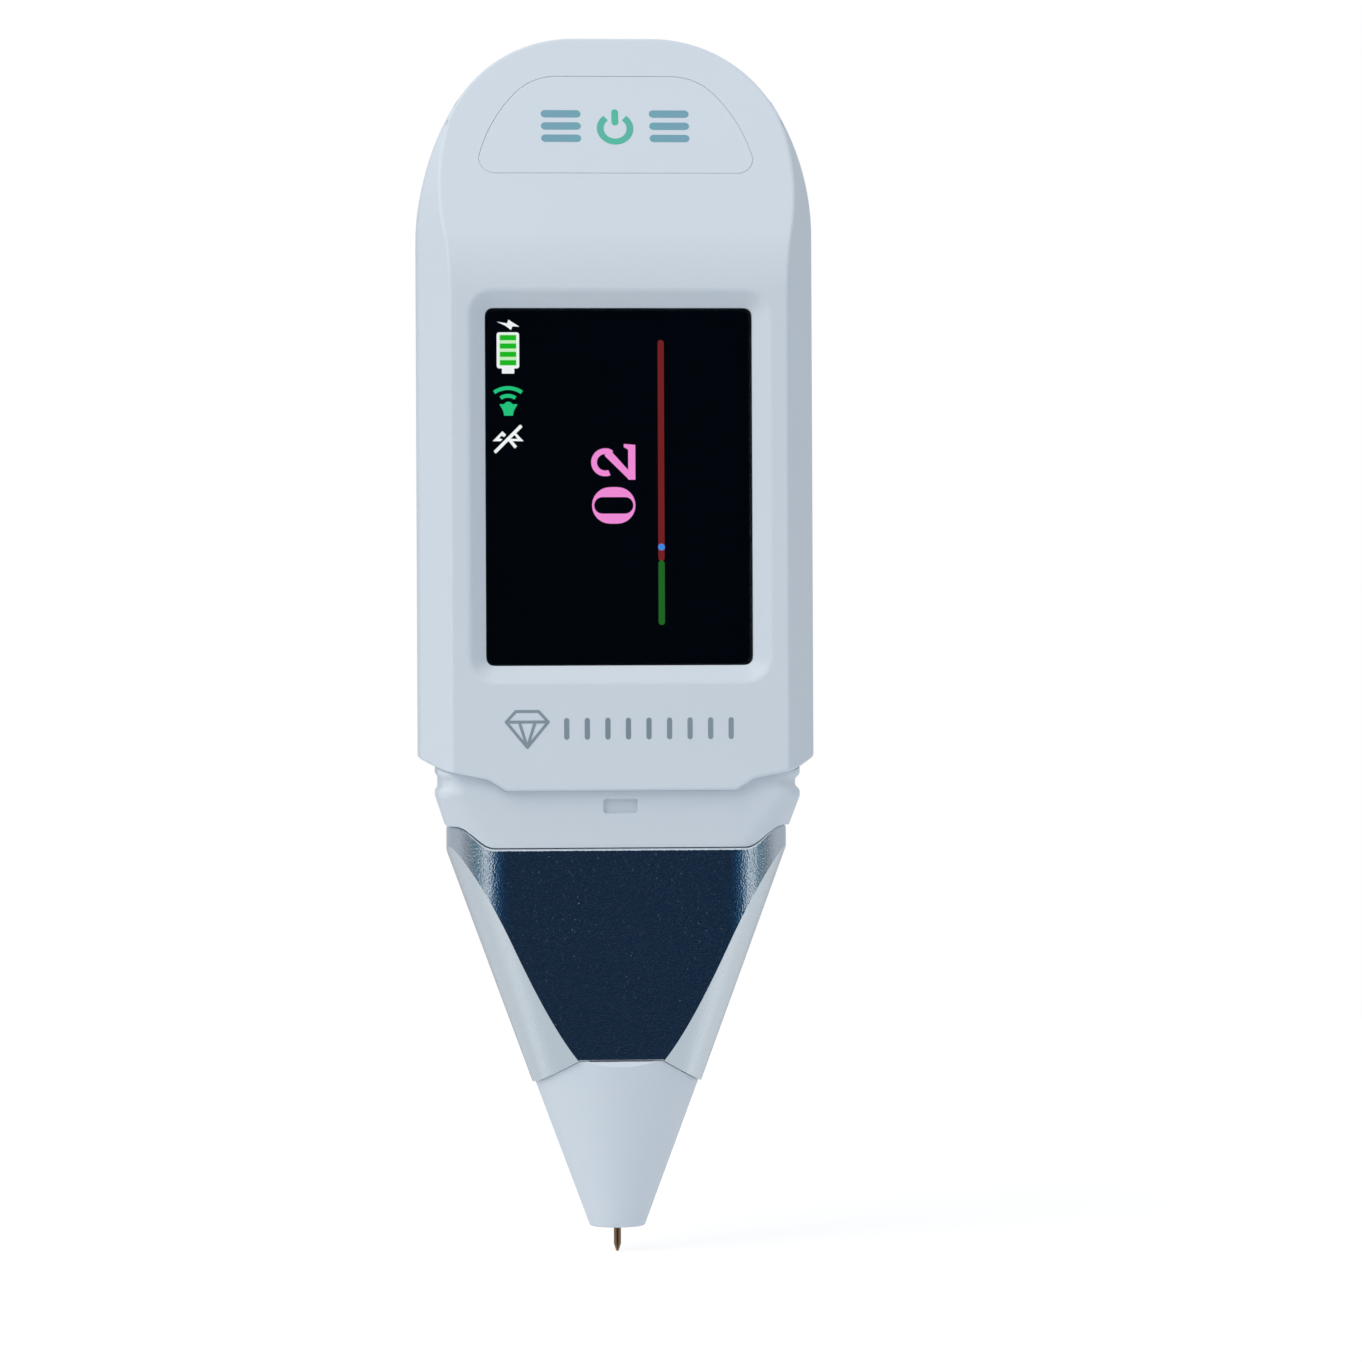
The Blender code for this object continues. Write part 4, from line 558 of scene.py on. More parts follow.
    def apply(self, kind: str, **settings: object) -> None:
        """Add a modifier with its settings and apply it.

        Args:
            kind: Blender's name of the modifier type.
            settings: The modifier's properties.
        """
        self.take()
        modifier = self.obj.modifiers.new(kind.lower(), kind)
        for name, value in settings.items():
            setattr(modifier, name, value)
        bpy.ops.object.modifier_apply(modifier=modifier.name)

    def combine(self, other: Workpiece, way: Sum) -> None:
        """Join, cut or limit the piece by another solid, which is used up.

        Args:
            other: The other solid.
            way: How the two are put together.
        """
        self.apply("BOOLEAN", operation=way.value, solver="EXACT", object=other.obj)
        mesh = other.obj.data
        bpy.data.objects.remove(other.obj)
        bpy.data.meshes.remove(mesh)

    def cut(self, *others: Workpiece) -> None:
        """Take other solids away from the piece."""
        for other in others:
            self.combine(other, Sum.DIFFERENCE)

    def join(self, *others: Workpiece) -> None:
        """Add other solids to the piece."""
        for other in others:
            self.combine(other, Sum.UNION)

    def copy(self, name: str, move: Vector) -> Workpiece:
        """Copy the piece with its own mesh, and return the copy under a name and moved.

        Args:
            name: The copy's name.
            move: How far it stands from the piece.

        Returns:
            The copy.
        """
        twin = self.obj.copy()
        twin.data = self.obj.data.copy()
        bpy.context.scene.collection.objects.link(twin)
        piece = Workpiece(name, twin)
        piece.shift(Matrix.Translation(move))
        return piece

    def shift(self, place: Matrix) -> None:
        """Place the mesh and leave its object at the origin.

        Args:
            place: Where the mesh goes.
        """
        self.take()
        self.obj.matrix_world = place
        bpy.ops.object.transform_apply(location=True, rotation=True, scale=True)

    def dress(self, finish: Finish, *nodes: str, body: Body | None = Body.HOUSING) -> None:
        """Smooth the piece, give it its finish and set it in the frame.

        Args:
            finish: The finish that it takes, with the record's slot for it.
            nodes: The CAD nodes that it stands for.
            body: The body that it rides on, or None to attach it to none.
        """
        self.take()
        bpy.ops.object.shade_smooth_by_angle(angle=math.radians(self.crease))
        self.apply("WEIGHTED_NORMAL", keep_sharp=True)
        self.obj.data.materials.clear()
        self.obj.data.materials.append(finish.material())
        if body is not None:
            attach(self.obj, body.value)
        if nodes:
            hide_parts(*nodes)
        LOG.info("%s: %d faces of %s", self.obj.name, len(self.obj.data.polygons), finish.name)


class Nodes:
    """The node tree of a material or a world in the making."""

    def __init__(self, owner: bpy.types.Material | bpy.types.World) -> None:
        """Open the owner's tree and empty it.

        Args:
            owner: The material or world that the tree belongs to.
        """
        owner.use_nodes = True
        self.tree = owner.node_tree
        self.tree.nodes.clear()

    def add(self, kind: str, settings: dict[str | int, object] | None = None) -> bpy.types.Node:
        """Add a shader node and set it up.

        Args:
            kind: Blender's name of the node type, after the word ShaderNode.
            settings: A number, a hex colour or a socket to link by the name or number of an
                input, or a value by the name of a property.

        Returns:
            The new node.
        """
        node = self.tree.nodes.new("ShaderNode" + kind)
        for name, value in (settings or {}).items():
            if isinstance(value, Socket):
                self.tree.links.new(value, node.inputs[name])
            elif isinstance(name, int) or name in node.inputs:
                node.inputs[name].default_value = (linear(value) if isinstance(value, str)
                                                   else value)
            else:
                setattr(node, name, value)
        return node

    def place(self) -> Socket:
        """Return the place on the piece."""
        return self.add("TexCoord").outputs["Object"]

    def noise(self, size: float, detail: float, rough: float = 0.5,
              place: Socket | None = None) -> Socket:
        """Return noise over the piece.

        Args:
            size: The size of its largest grains.
            detail: How many finer layers it has.
            rough: How strong these are.
            place: The place on the piece, if it is mapped first.

        Returns:
            The noise, from 0 to 1.
        """
        return self.add("TexNoise", {"Scale": 1 / size, "Detail": detail, "Roughness": rough,
                                     "Vector": place or self.place()}).outputs["Fac"]

    def spread(self, share: Socket, low: float, high: float) -> Socket:
        """Return a share from 0 to 1 as a value between two bounds."""
        return self.add("MapRange", {"To Min": low, "To Max": high,
                                     "Value": share}).outputs["Result"]

    def fade(self, value: Socket, start: float, end: float) -> Socket:
        """Return a share that rises softly from 0 to 1 while a value runs between two bounds."""
        return self.add("MapRange", {"interpolation_type": "SMOOTHSTEP", "From Min": start,
                                     "From Max": end, "Value": value}).outputs["Result"]

    def mix(self, share: Socket, first: str | Socket, second: str | Socket) -> Socket:
        """Return a colour between two, as hex or from a socket."""
        return self.add("Mix", {"data_type": "RGBA", 0: share, 6: first,
                                7: second}).outputs[2]

    def bump(self, height: Socket, strength: float, relief: float) -> Socket:
        """Return the normal of a surface with a relief of a strength and a height."""
        return self.add("Bump", {"Strength": strength, "Distance": relief,
                                 "Height": height}).outputs["Normal"]

    def blend(self, share: Socket, first: Socket, second: Socket) -> Socket:
        """Return a shader between two."""
        return self.add("MixShader", {0: share, 1: first, 2: second}).outputs[0]

    def principled(self, settings: dict[str, object]) -> Socket:
        """Return the surface of a principled shader with the settings."""
        return self.add("BsdfPrincipled", settings).outputs["BSDF"]


@dataclass(frozen=True)
class Finish:
    """A real material, with how its surface was made and the record's slot for it."""

    name: str
    slot: Slot | None = None

    def material(self) -> bpy.types.Material:
        """Return the finish's material, made at its first use.

        Returns:
            The material.
        """
        found = bpy.data.materials.get(self.name)
        if found is None:
            found = bpy.data.materials.new(self.name)
            nodes = Nodes(found)
            nodes.add("OutputMaterial", {"Surface": self.shader(nodes)})
        return found

    def shader(self, nodes: Nodes) -> Socket:
        """Add the finish's nodes to a tree.

        Args:
            nodes: The material's node tree.

        Returns:
            The socket that carries the surface.
        """
        raise NotImplementedError


@dataclass(frozen=True)
class MouldedPlastic(Finish):
    """Injection-moulded plastic from a spark-eroded tool: a soft sheen that breaks up in grain."""

    colour: str = "#D3DAE1"
    deep: str = "#CFD7DF"
    roughness: float = 0.40
    grain: float = 0.22 * MM
    relief: float = 0.004 * MM
    flow: float = 24 * MM

    def shader(self, nodes: Nodes) -> Socket:
        """Return the plastic's surface: spark grain over slow flow marks.

        Args:
            nodes: The material's node tree.

        Returns:
            The socket that carries the surface.
        """
        spark = nodes.noise(self.grain, 2.0, 0.6)
        tone = nodes.mix(nodes.noise(self.flow, 1.0), self.colour, self.deep)
        return nodes.principled({
            "IOR": 1.53, "Base Color": tone,
            "Roughness": nodes.spread(spark, self.roughness - 0.06, self.roughness + 0.06),
            "Normal": nodes.bump(spark, 0.5, self.relief)})


@dataclass(frozen=True)
class SatinChrome(Finish):
    """Zinc casting, bead-blasted and chrome-plated: a mirror tone that sparkles in highlights."""

    colour: str = "#CBD5DE"
    roughness: float = 0.11
    bead: float = 0.20 * MM
    relief: float = 0.060 * MM

    def shader(self, nodes: Nodes) -> Socket:
        """Return the plating's surface: the dents of the beads and a fine haze between them.

        Args:
            nodes: The material's node tree.

        Returns:
            The socket that carries the surface.
        """
        beads = nodes.noise(self.bead, 1.0, 0.4)
        haze = nodes.add("TexVoronoi", {"Scale": 3 / self.bead, "Vector": nodes.place()})
        height = nodes.add("Math", {"operation": "MULTIPLY_ADD", 0: haze.outputs["Distance"],
                                    1: 0.1, 2: beads})
        return nodes.principled({
            "Base Color": self.colour, "Metallic": 1.0,
            "Roughness": nodes.spread(beads, self.roughness - 0.04, self.roughness + 0.06),
            "Normal": nodes.bump(height.outputs[0], 0.6, self.relief)})


@dataclass(frozen=True)
class BareMetal(Finish):
    """Steel, brass or copper as turned, stamped or drawn: fine lines that streak its shine."""

    colour: str = "#B9BABC"
    tarnish: str = "#8F8F92"
    roughness: float = 0.30
    line: float = 0.10 * MM
    relief: float = 0.003 * MM
    patch: float = 1.5 * MM

    def shader(self, nodes: Nodes) -> Socket:
        """Return the metal's surface: drawn lines, and patches of tarnish.

        Args:
            nodes: The material's node tree.

        Returns:
            The socket that carries the surface.
        """
        drawn = nodes.add("Mapping", {"Scale": (1.0, 1.0, 0.12), "Vector": nodes.place()})
        scores = nodes.noise(self.line, 3.0, place=drawn.outputs["Vector"])
        return nodes.principled({
            "Metallic": 1.0,
            "Base Color": nodes.mix(nodes.noise(self.patch, 2.0), self.colour, self.tarnish),
            "Roughness": nodes.spread(scores, self.roughness - 0.08, self.roughness + 0.12),
            "Normal": nodes.bump(scores, 0.4, self.relief)})


@dataclass(frozen=True)
class CoverGlass(Finish):
    """Float glass, polished: clear, with a sharp reflection and hardly any tint."""

    colour: str = "#F4F8F8"
    roughness: float = 0.02
    smear: float = 9 * MM

    def shader(self, nodes: Nodes) -> Socket:
        """Return the glass's surface, with faint smears in its shine.

        Args:
            nodes: The material's node tree.

        Returns:
            The socket that carries the surface.
        """
        return nodes.principled({
            "Base Color": self.colour, "IOR": 1.5, "Transmission Weight": 1.0,
            "Roughness": nodes.spread(nodes.noise(self.smear, 2.0), self.roughness / 2,
                                      self.roughness * 2)})


@dataclass(frozen=True)
class Picture(Finish):
    """A lit part of the display's picture, with the dark raster between its pixels."""

    colour: str = "#FFFFFF"
    strength: float = 1.06
    pitch: float = 0.1275 * MM

    def shader(self, nodes: Nodes) -> Socket:
        """Return the picture's light, a little dimmer between the pixels.

        Args:
            nodes: The material's node tree.

        Returns:
            The socket that carries the surface.
        """
        upright = nodes.add("Mapping", {"Rotation": (-math.pi / 2, 0, 0),
                                        "Vector": nodes.place()})
        lit = linear(self.colour)
        dim = tuple(0.80 * part for part in lit[:3]) + (1.0,)
        raster = nodes.add("TexBrick", {
            "offset": 0.0, "Scale": 1.0, "Color1": lit, "Color2": lit, "Mortar": dim,
            "Brick Width": self.pitch, "Row Height": self.pitch,
            "Mortar Size": self.pitch * 0.06, "Mortar Smooth": 0.3,
            "Vector": upright.outputs["Vector"]})
        return nodes.principled({
            "Base Color": "#000000", "Roughness": 0.6, "Specular IOR Level": 0.0,
            "Emission Strength": self.strength, "Emission Color": raster.outputs["Color"]})


@dataclass(frozen=True)
class DarkPanel(Finish):
    """The unlit display: black polariser film over glass, which swallows nearly all light."""

    colour: str = "#030304"
    roughness: float = 0.35
    grain: float = 0.2 * MM

    def shader(self, nodes: Nodes) -> Socket:
        """Return the panel's surface, matt and almost black.

        Args:
            nodes: The material's node tree.

        Returns:
            The socket that carries the surface.
        """
        return nodes.principled({
            "Base Color": self.colour, "Specular IOR Level": 0.0,
            "Roughness": nodes.spread(nodes.noise(self.grain, 1.0), self.roughness,
                                      self.roughness + 0.1)})


@dataclass(frozen=True)
class PrintedInk(Finish):
    """Pad-printed ink: a thin matt film that blends from one colour to another and back."""

    middle: str = "#4FB79B"
    ends: str = "#719FB0"
    reach: float = 6 * MM
    grain: float = 0.15 * MM

    def shader(self, nodes: Nodes) -> Socket:
        """Return the ink's surface, coloured by the distance from the middle line.

        Args:
            nodes: The material's node tree.

        Returns:
            The socket that carries the surface.
        """
        parts = nodes.add("SeparateXYZ", {0: nodes.place()})
        across = nodes.add("Math", {"operation": "ABSOLUTE", 0: parts.outputs["X"]})
        share = nodes.fade(across.outputs[0], 0.0, self.reach)
        return nodes.principled({
            "Roughness": 0.5, "IOR": 1.5, "Base Color": nodes.mix(share, self.middle, self.ends),
            "Normal": nodes.bump(nodes.noise(self.grain, 2.0), 0.3, 0.003 * MM)})


@dataclass(frozen=True)
class GlassFibreBoard(Finish):
    """Glass-fibre circuit board under green solder resist: the weave just shows in the sheen."""

    colour: str = "#1F5B3A"
    light: str = "#256843"
    thread: float = 0.5 * MM

    def shader(self, nodes: Nodes) -> Socket:
        """Return the board's surface: the weave, with tracks that stand out a little.

        Args:
            nodes: The material's node tree.

        Returns:
            The socket that carries the surface.
        """
        weave = nodes.add("TexChecker", {"Scale": 1 / self.thread, "Color1": self.colour,
                                         "Color2": self.light, "Vector": nodes.place()})
        tracks = nodes.add("TexBrick", {
            "Scale": 1.0, "Color1": "#FFFFFF", "Color2": (0.8, 0.8, 0.8, 1),
            "Mortar": (0.55, 0.6, 0.5, 1), "Brick Width": 5 * MM, "Row Height": 1.3 * MM,
            "Mortar Size": 0.12 * MM, "Vector": nodes.place()})
        tone = nodes.add("Mix", {"data_type": "RGBA", "blend_type": "MULTIPLY", 0: 1.0,
                                 6: weave.outputs["Color"], 7: tracks.outputs["Color"]})
        return nodes.principled({
            "Roughness": 0.35, "IOR": 1.55, "Base Color": tone.outputs[2],
            "Normal": nodes.bump(tracks.outputs["Fac"], 0.3, 0.01 * MM)})


@dataclass(frozen=True)
class CellFoam(Finish):
    """Closed-cell foam, skived: matt, with open cells on its cut faces."""

    colour: str = "#26282A"
    # painted shade: the tone of each open cell's hollow middle
    deep: str = "#151617"
    cell: float = 0.35 * MM

    def shader(self, nodes: Nodes) -> Socket:
        """Return the foam's surface, with painted shade that darkens the hollow middle of each
        open cell.

        Args:
            nodes: The material's node tree.

        Returns:
            The socket that carries the surface.
        """
        cells = nodes.add("TexVoronoi", {"Scale": 1 / self.cell, "Vector": nodes.place()})
        depth = cells.outputs["Distance"]
        # painted shade: the colour runs from the deep tone in each cell's hollow middle to the
        # foam's own colour at its rim
        return nodes.principled({
            "Roughness": 0.9, "Base Color": nodes.mix(depth, self.deep, self.colour),
            "Normal": nodes.bump(depth, 0.7, 0.1 * MM)})


WHITE_ABS = MouldedPlastic("white_abs_spark_eroded", Slot.WHITE_ABS)
KEY_ABS = MouldedPlastic("white_abs_key_fine_grain", Slot.WHITE_KEY, roughness=0.36,
                         relief=0.003 * MM)
NOZZLE_ABS = MouldedPlastic("white_abs_nozzle", Slot.WHITE_NOZZLE, roughness=0.44)
BLACK_PLASTIC = MouldedPlastic("black_nylon_moulded", Slot.BLACK_PLASTIC, "#17181A", "#121315",
                               roughness=0.5, relief=0.008 * MM)
WHITE_RESIN = MouldedPlastic("ivory_nylon_connector", None, "#D9D4C4", "#CFC9B6", roughness=0.45)
AMBER_FILM = MouldedPlastic("polyimide_film_rolled", None, "#B8742A", "#9C5E1E", roughness=0.28,
                            grain=0.6 * MM, relief=0.002 * MM)
RED_WIRE = MouldedPlastic("red_pvc_insulation_extruded", None, "#B3211F", "#9E1A18",
                          roughness=0.38, grain=0.5 * MM)
BLACK_WIRE = MouldedPlastic("black_pvc_insulation_extruded", None, "#1A1A1C", "#131315",
                            roughness=0.38, grain=0.5 * MM)
CHROME = SatinChrome("chrome_plate_bead_blasted", Slot.SATIN_CHROME)
POUCH = SatinChrome("aluminium_laminate_pouch", None, "#BFC3C8", 0.32, 0.9 * MM, 0.05 * MM)
STEEL = BareMetal("steel_stamped", Slot.STEEL)
SCREW_STEEL = BareMetal("steel_zinc_plated_cold_headed", Slot.STEEL, "#A9ADB2", "#8B8F95")
BRASS = BareMetal("brass_turned", Slot.BRASS, "#C9A55A", "#A6843F")
COPPER = BareMetal("beryllium_copper_drawn", Slot.COPPER, "#BD9474", "#86664F", 0.34)
GOLD = BareMetal("gold_flashed_contact", Slot.BRASS, "#D8B25A", "#C49A42", 0.22)
GLASS = CoverGlass("cover_glass_polished")
PANEL = DarkPanel("display_polariser_black", Slot.DISPLAY_PANEL)
BOARD = GlassFibreBoard("glass_fibre_board_green")
FOAM = CellFoam("polyurethane_foam_black")
KEY_INK = PrintedInk("ink_teal_to_green_pad_printed", Slot.WHITE_KEY)
GREY_INK = PrintedInk("ink_grey_pad_printed", Slot.WHITE_ABS, "#7C8C96", "#86959E", 12 * MM)
LIT = {tone: Picture(f"picture_{tone}", Slot.DISPLAY_PANEL, colour) for tone, colour in (
    ("white", "#FFFFFF"), ("pale_green", "#D2F9C8"), ("green", "#1FBE20"), ("mint", "#26CC82"),
    ("pink", "#FF92E0"), ("red", "#7A2222"), ("dark_green", "#246A24"), ("blue", "#4B8CEB"))}

SCREWS = ("shell_screw_upper_left", "shell_screw_upper_right", "shell_screw_lower_left",
          "shell_screw_lower_right")


@dataclass
class Arch:
    """A round arch: from each side a wide arc runs into a tighter one below the flat top."""

    half_width: float
    drop: float
    shoulder: float
    top_radius: float

    @property
    def side_radius(self) -> float:
        """Return the radius of the wide arc, which touches the side and the tighter arc."""
        fall = self.drop - self.top_radius
        return self.top_radius + (self.shoulder ** 2 + fall ** 2) / (2 * self.shoulder)

    @property
    def side_x(self) -> float:
        """Return where the wide arc's centre lies across."""
        return self.half_width - self.side_radius

    @property
    def top_x(self) -> float:
        """Return where the tighter arc's centre lies across."""
        return self.half_width - self.shoulder - self.top_radius

    @property
    def meet(self) -> float:
        """Return the angle at which the two arcs meet, in degrees."""
        return math.degrees(math.atan2(self.drop - self.top_radius, self.top_x - self.side_x))


@dataclass
class HeadForm(Arch):
    """The head's solid: an arch with drafted walls, a leaning upper face and a round back."""

    half_width: float = 22.8 * MM
    drop: float = 23.28 * MM
    shoulder: float = 2.37 * MM
    top_radius: float = 15.88 * MM
    top: float = 106.37 * MM
    foot: float = 22.9 * MM
    lip: float = 19.2 * MM
    front: float = -11.5 * MM
    rear: float = 11.5 * MM
    widest: float = -4.0 * MM
    widest_round: float = 0.6 * MM
    draft: float = 3.45 / 7.5
    run_out: float = 8.2 * MM
    rear_round: float = 3.5 * MM
    lean: float = math.radians(23)
    lean_corner: float = 80.0 * MM
    bend_radius: float = 19.0 * MM

    def build(self, name: str, inset: float) -> Workpiece:
        """Model the solid, drawn in by an inset.

        Args:
            name: The piece's name.
            inset: How far every wall stands inside the outer one.

        Returns:
            The closed solid, run out below the head's lower edge.
        """
        low = self.lip - self.run_out - inset
        edge = self.half_width - inset
        form = Workpiece.arched(name, Plane.FRONT, (0.0, low), [
            Line((edge, low)),
            Line((edge, self.top - self.drop)),
            Turn((self.side_x, self.top - self.drop), self.meet, 14),
            Turn((self.top_x, self.top - self.top_radius), 90 - self.meet, 18),
            Line((0.0, self.top - inset)),
        ], self.widest)
        reach = self.widest - self.front - inset
        with form.editing():
            form.extrude(Vector((0, self.rear - self.widest - inset, 0)))
            form.recalculate()
            form.pick_faces(lambda middle, normal: normal.y < -0.9)
            bpy.ops.mesh.inset(thickness=reach * self.draft, depth=reach, use_even_offset=True,
                               use_boundary=True)
        back = self.rear - inset
        form.soften(lambda end: end.y > back - TINY, self.rear_round - inset, 8)
        form.soften(lambda end: abs(end.y - self.widest) < TINY, self.widest_round, 3, sharper=10)
        corner = self.lean_corner - inset * math.tan(self.lean / 2)
        form.split(Vector((0, self.front + inset, corner)), self.lean_normal())
        bend = (self.bend_radius - inset) * math.tan(self.lean / 2)
        form.soften(lambda end: abs(end.y - self.front - inset) < TINY
                    and abs(end.z - corner) < TINY, bend, 12)
        return form

    def foot_cutter(self, name: str) -> Workpiece:
        """Model the solid below the head's lower edge, which steps down to a lip in the middle.

        Args:
            name: The piece's name.

        Returns:
            The cutter.
        """
        deep = self.lip - 20 * MM
        right = [(REACH, deep), (REACH, self.foot), (self.half_width, self.foot),
                 *metres([(20.2, 21.5), (15.2, 20.5)]), (13.2 * MM, self.lip)]
        left = mirrored(right)
        return Workpiece.polygon(name, Plane.FRONT, [left[-1], *right, *left[:-1]],
                                 -REACH, REACH)

    def lean_normal(self) -> Vector:
        """Return the way out of the leaning face."""
        return Vector((0, -math.cos(self.lean), math.sin(self.lean)))

    def on_lean(self, end: Vector) -> bool:
        """Tell whether a point lies on the leaning face.

        Args:
            end: The point.

        Returns:
            True where it does.
        """
        slope = self.lean_normal()
        level = slope.dot(Vector((0, self.front, self.lean_corner)))
        return abs(slope.dot(end) - level) < TINY

    def lean_frame(self, rise: float) -> Matrix:
        """Return a frame on the leaning face: X across, Y up the slope and Z out of it.

        Args:
            rise: The distance up the slope from the corner of the bend.

        Returns:
            The frame.
        """
        place = Vector((0, self.front + rise * math.sin(self.lean),
                        self.lean_corner + rise * math.cos(self.lean)))
        return Matrix.Translation(place) @ Matrix.Rotation(math.pi / 2 - self.lean, 4, "X")


@dataclass
class KeyForm(Arch):
    """The outline of the power key, in the frame of the leaning face."""

    half_width: float = 16.28 * MM
    drop: float = 14.02 * MM
    shoulder: float = 2.9 * MM
    top_radius: float = 6.78 * MM
    rise: float = 10.97 * MM
    height: float = 11.6 * MM
    corner: float = 1.8 * MM

    def build(self, name: str, head: HeadForm, grow: float, low: float, high: float) -> Workpiece:
        """Model a plate with the key's outline.

        Args:
            name: The piece's name.
            head: The head that it sits in.
            grow: How far the outline stands outside the key's own.
            low: The level of its rear face, negative behind the leaning face.
            high: The level of its front face.

        Returns:
            The plate, in its place on the leaning face.
        """
        side_z = self.height - self.drop
        first = math.degrees(math.asin((self.corner - side_z) / (self.side_radius + grow)))
        edge = self.side_x + (self.side_radius + grow) * math.cos(math.radians(first))
        plate = Workpiece.arched(name, Plane.PLAN, (0.0, -grow), [
            Line((edge - self.corner - grow, -grow)),
            Turn((edge - self.corner - grow, self.corner), 90, 8),
            Turn((self.side_x, side_z), self.meet - first, 12),
            Turn((self.top_x, self.height - self.top_radius), 90 - self.meet, 12),
            Line((0.0, self.height + grow)),
        ], low)
        with plate.editing():
            bpy.ops.transform.resize(value=(1, 1 / math.cos(head.lean), 1),
                                     center_override=(0, 0, 0))
            plate.extrude(Vector((0, 0, high - low)))
        plate.face_outwards()
        plate.shift(head.lean_frame(self.rise))
        return plate


@dataclass
class Head:
    """The two shells of the head, with the screen's surround, the key's hole and the openings."""

    form: HeadForm
    key: KeyForm
    wall: float = 2.0 * MM
    edge: float = 0.35 * MM
    parting: float = 2.2 * MM
    gap: float = 0.08 * MM
    screen_size: Point = mm(30.6, 40.9)
    screen_middle: float = 53.95 * MM
    screen_corner: float = 0.9 * MM
    bezel_margin: float = 1.9 * MM
    bezel_depth: float = 1.4 * MM

    def shell(self, kind: str, edge_y: float, way: float) -> Workpiece:
        """Model a hollow half of the head, with its lower edge cut and its edges rounded.

        Args:
            kind: The half's name, front or rear.
            edge_y: Where its parting edge lies.
            way: The way to the other half, 1 or -1 along Y.

        Returns:
            The half.
        """
        shell = self.form.build(f"{kind}_moulding", 0.0)
        shell.cut(self.form.foot_cutter("foot_cutter"))
        shell.apply("BEVEL", width=self.edge, segments=5, limit_method="ANGLE",
                    angle_limit=math.radians(34), use_clamp_overlap=False, loop_slide=False)
        shell.split(Vector((0, edge_y, 0)), Vector((0, way, 0)))
        shell.soften(lambda end: abs(end.y - edge_y) < TINY, 0.08 * MM, 2)
        shell.cut(self.form.build(f"{kind}_cavity", self.wall))
        return shell

    def bezel_cutter(self) -> Workpiece:
        """Model the recess round the screen, which narrows to the screen's opening.

        Returns:
            The cutter.
        """
        proud = 3 * MM
        grow = self.bezel_margin + proud * (self.bezel_margin / self.bezel_depth)
        size = (self.screen_size[0] + 2 * grow, self.screen_size[1] + 2 * grow)
        cutter = Workpiece.sheet("bezel_cutter", Plane.FRONT, (0.0, self.screen_middle), size,
                                 self.form.front - proud, self.screen_corner + grow, 10)
        with cutter.editing(everything=True):
            cutter.extrude(Vector((0, -MM, 0)))
            cutter.recalculate()
            cutter.pick_faces(lambda middle, normal: normal.y > 0.9)
            bpy.ops.mesh.inset(thickness=grow, depth=self.bezel_depth + proud,
                               use_even_offset=True, use_boundary=True)
            cutter.extrude(Vector((0, 4 * MM, 0)))
        cutter.face_outwards()
        return cutter

    def build_front(self) -> None:
        """Model the front shell, with its bosses and pilot holes, and dress it."""
        edge_y = self.parting - self.gap / 2
        front = self.shell("front", edge_y, 1)
        for name in SCREWS:
            place = front_place(name)
            start = edge_y if place[1] > self.screen_middle else edge_y - 3.0 * MM
            front.join(Workpiece.drum("boss", place, 1.9 * MM, -6.0 * MM, start))
            front.cut(Workpiece.drum("pilot", place, 1.2 * MM, start - 4.8 * MM, start + MM))
        front.cut(self.bezel_cutter())
        front.cut(self.key.build("key_hole", self.form, 0.07 * MM, -4 * MM, 4 * MM))
        half_x, half_z = (size / 2 + self.bezel_margin + 0.1 * MM for size in self.screen_size)
        front.soften(lambda end: abs(end.y - self.form.front) < 5 * TINY and abs(end.x) < half_x
                     and abs(end.z - self.screen_middle) < half_z, 0.35 * MM, 4, sharper=30)
        front.soften(self.form.on_lean, 0.05 * MM, 3, sharper=80)
        front.dress(WHITE_ABS, "front_shell")

    def build_rear(self) -> None:
        """Model the rear shell, with its screw wells, sound holes and charging opening."""
        edge_y = self.parting + self.gap / 2
        rear = self.shell("rear", edge_y, -1)
        back = self.form.rear
        for name in SCREWS:
            place = front_place(name)
            rear.join(Workpiece.drum("post", place, 3.0 * MM, edge_y, back - MM))
            rear.cut(Workpiece.drum("well", place, 2.2 * MM, 8.4 * MM, back + MM))
            rear.cut(Workpiece.drum("shaft", place, 1.2 * MM, 0.0, 9 * MM))
        middle = front_place("buzzer")
        ring = Workpiece.drum("rib", middle, 7.1 * MM, 6.5 * MM, back - MM)
        ring.cut(Workpiece.drum("rib_bore", middle, 6.3 * MM, 0.0, back - self.wall))
        rear.join(ring)
        circle = 2.4 * MM
        turns = [math.pi * step / 3 for step in range(6)]
        for place in [middle] + [(middle[0] + circle * math.cos(turn),
                                  middle[1] + circle * math.sin(turn)) for turn in turns]:
            rear.cut(Workpiece.drum("sound_hole", place, 0.6 * MM, 8.5 * MM, back + MM, 24))
        top = self.form.top
        socket = middle_of("charge_socket")
        rear.cut(Workpiece.slab("charge_slot", Plane.PLAN, (socket.x, socket.y), mm(9.5, 3.9),
                                top - 4 * MM, top + 4 * MM, 1.949 * MM, 12))
        rear.soften(lambda end: abs(end.y - back) < TINY, 0.18 * MM, 3, sharper=80)
        rear.soften(lambda end: end.z > top - 0.6 * MM and abs(end.x) < 4.9 * MM
                    and abs(end.y - socket.y) < 2.05 * MM, 0.18 * MM, 3, sharper=60)
        rear.dress(WHITE_ABS, "rear_shell")

    def build(self) -> None:
        """Model both shells."""
        self.build_front()
        self.build_rear()


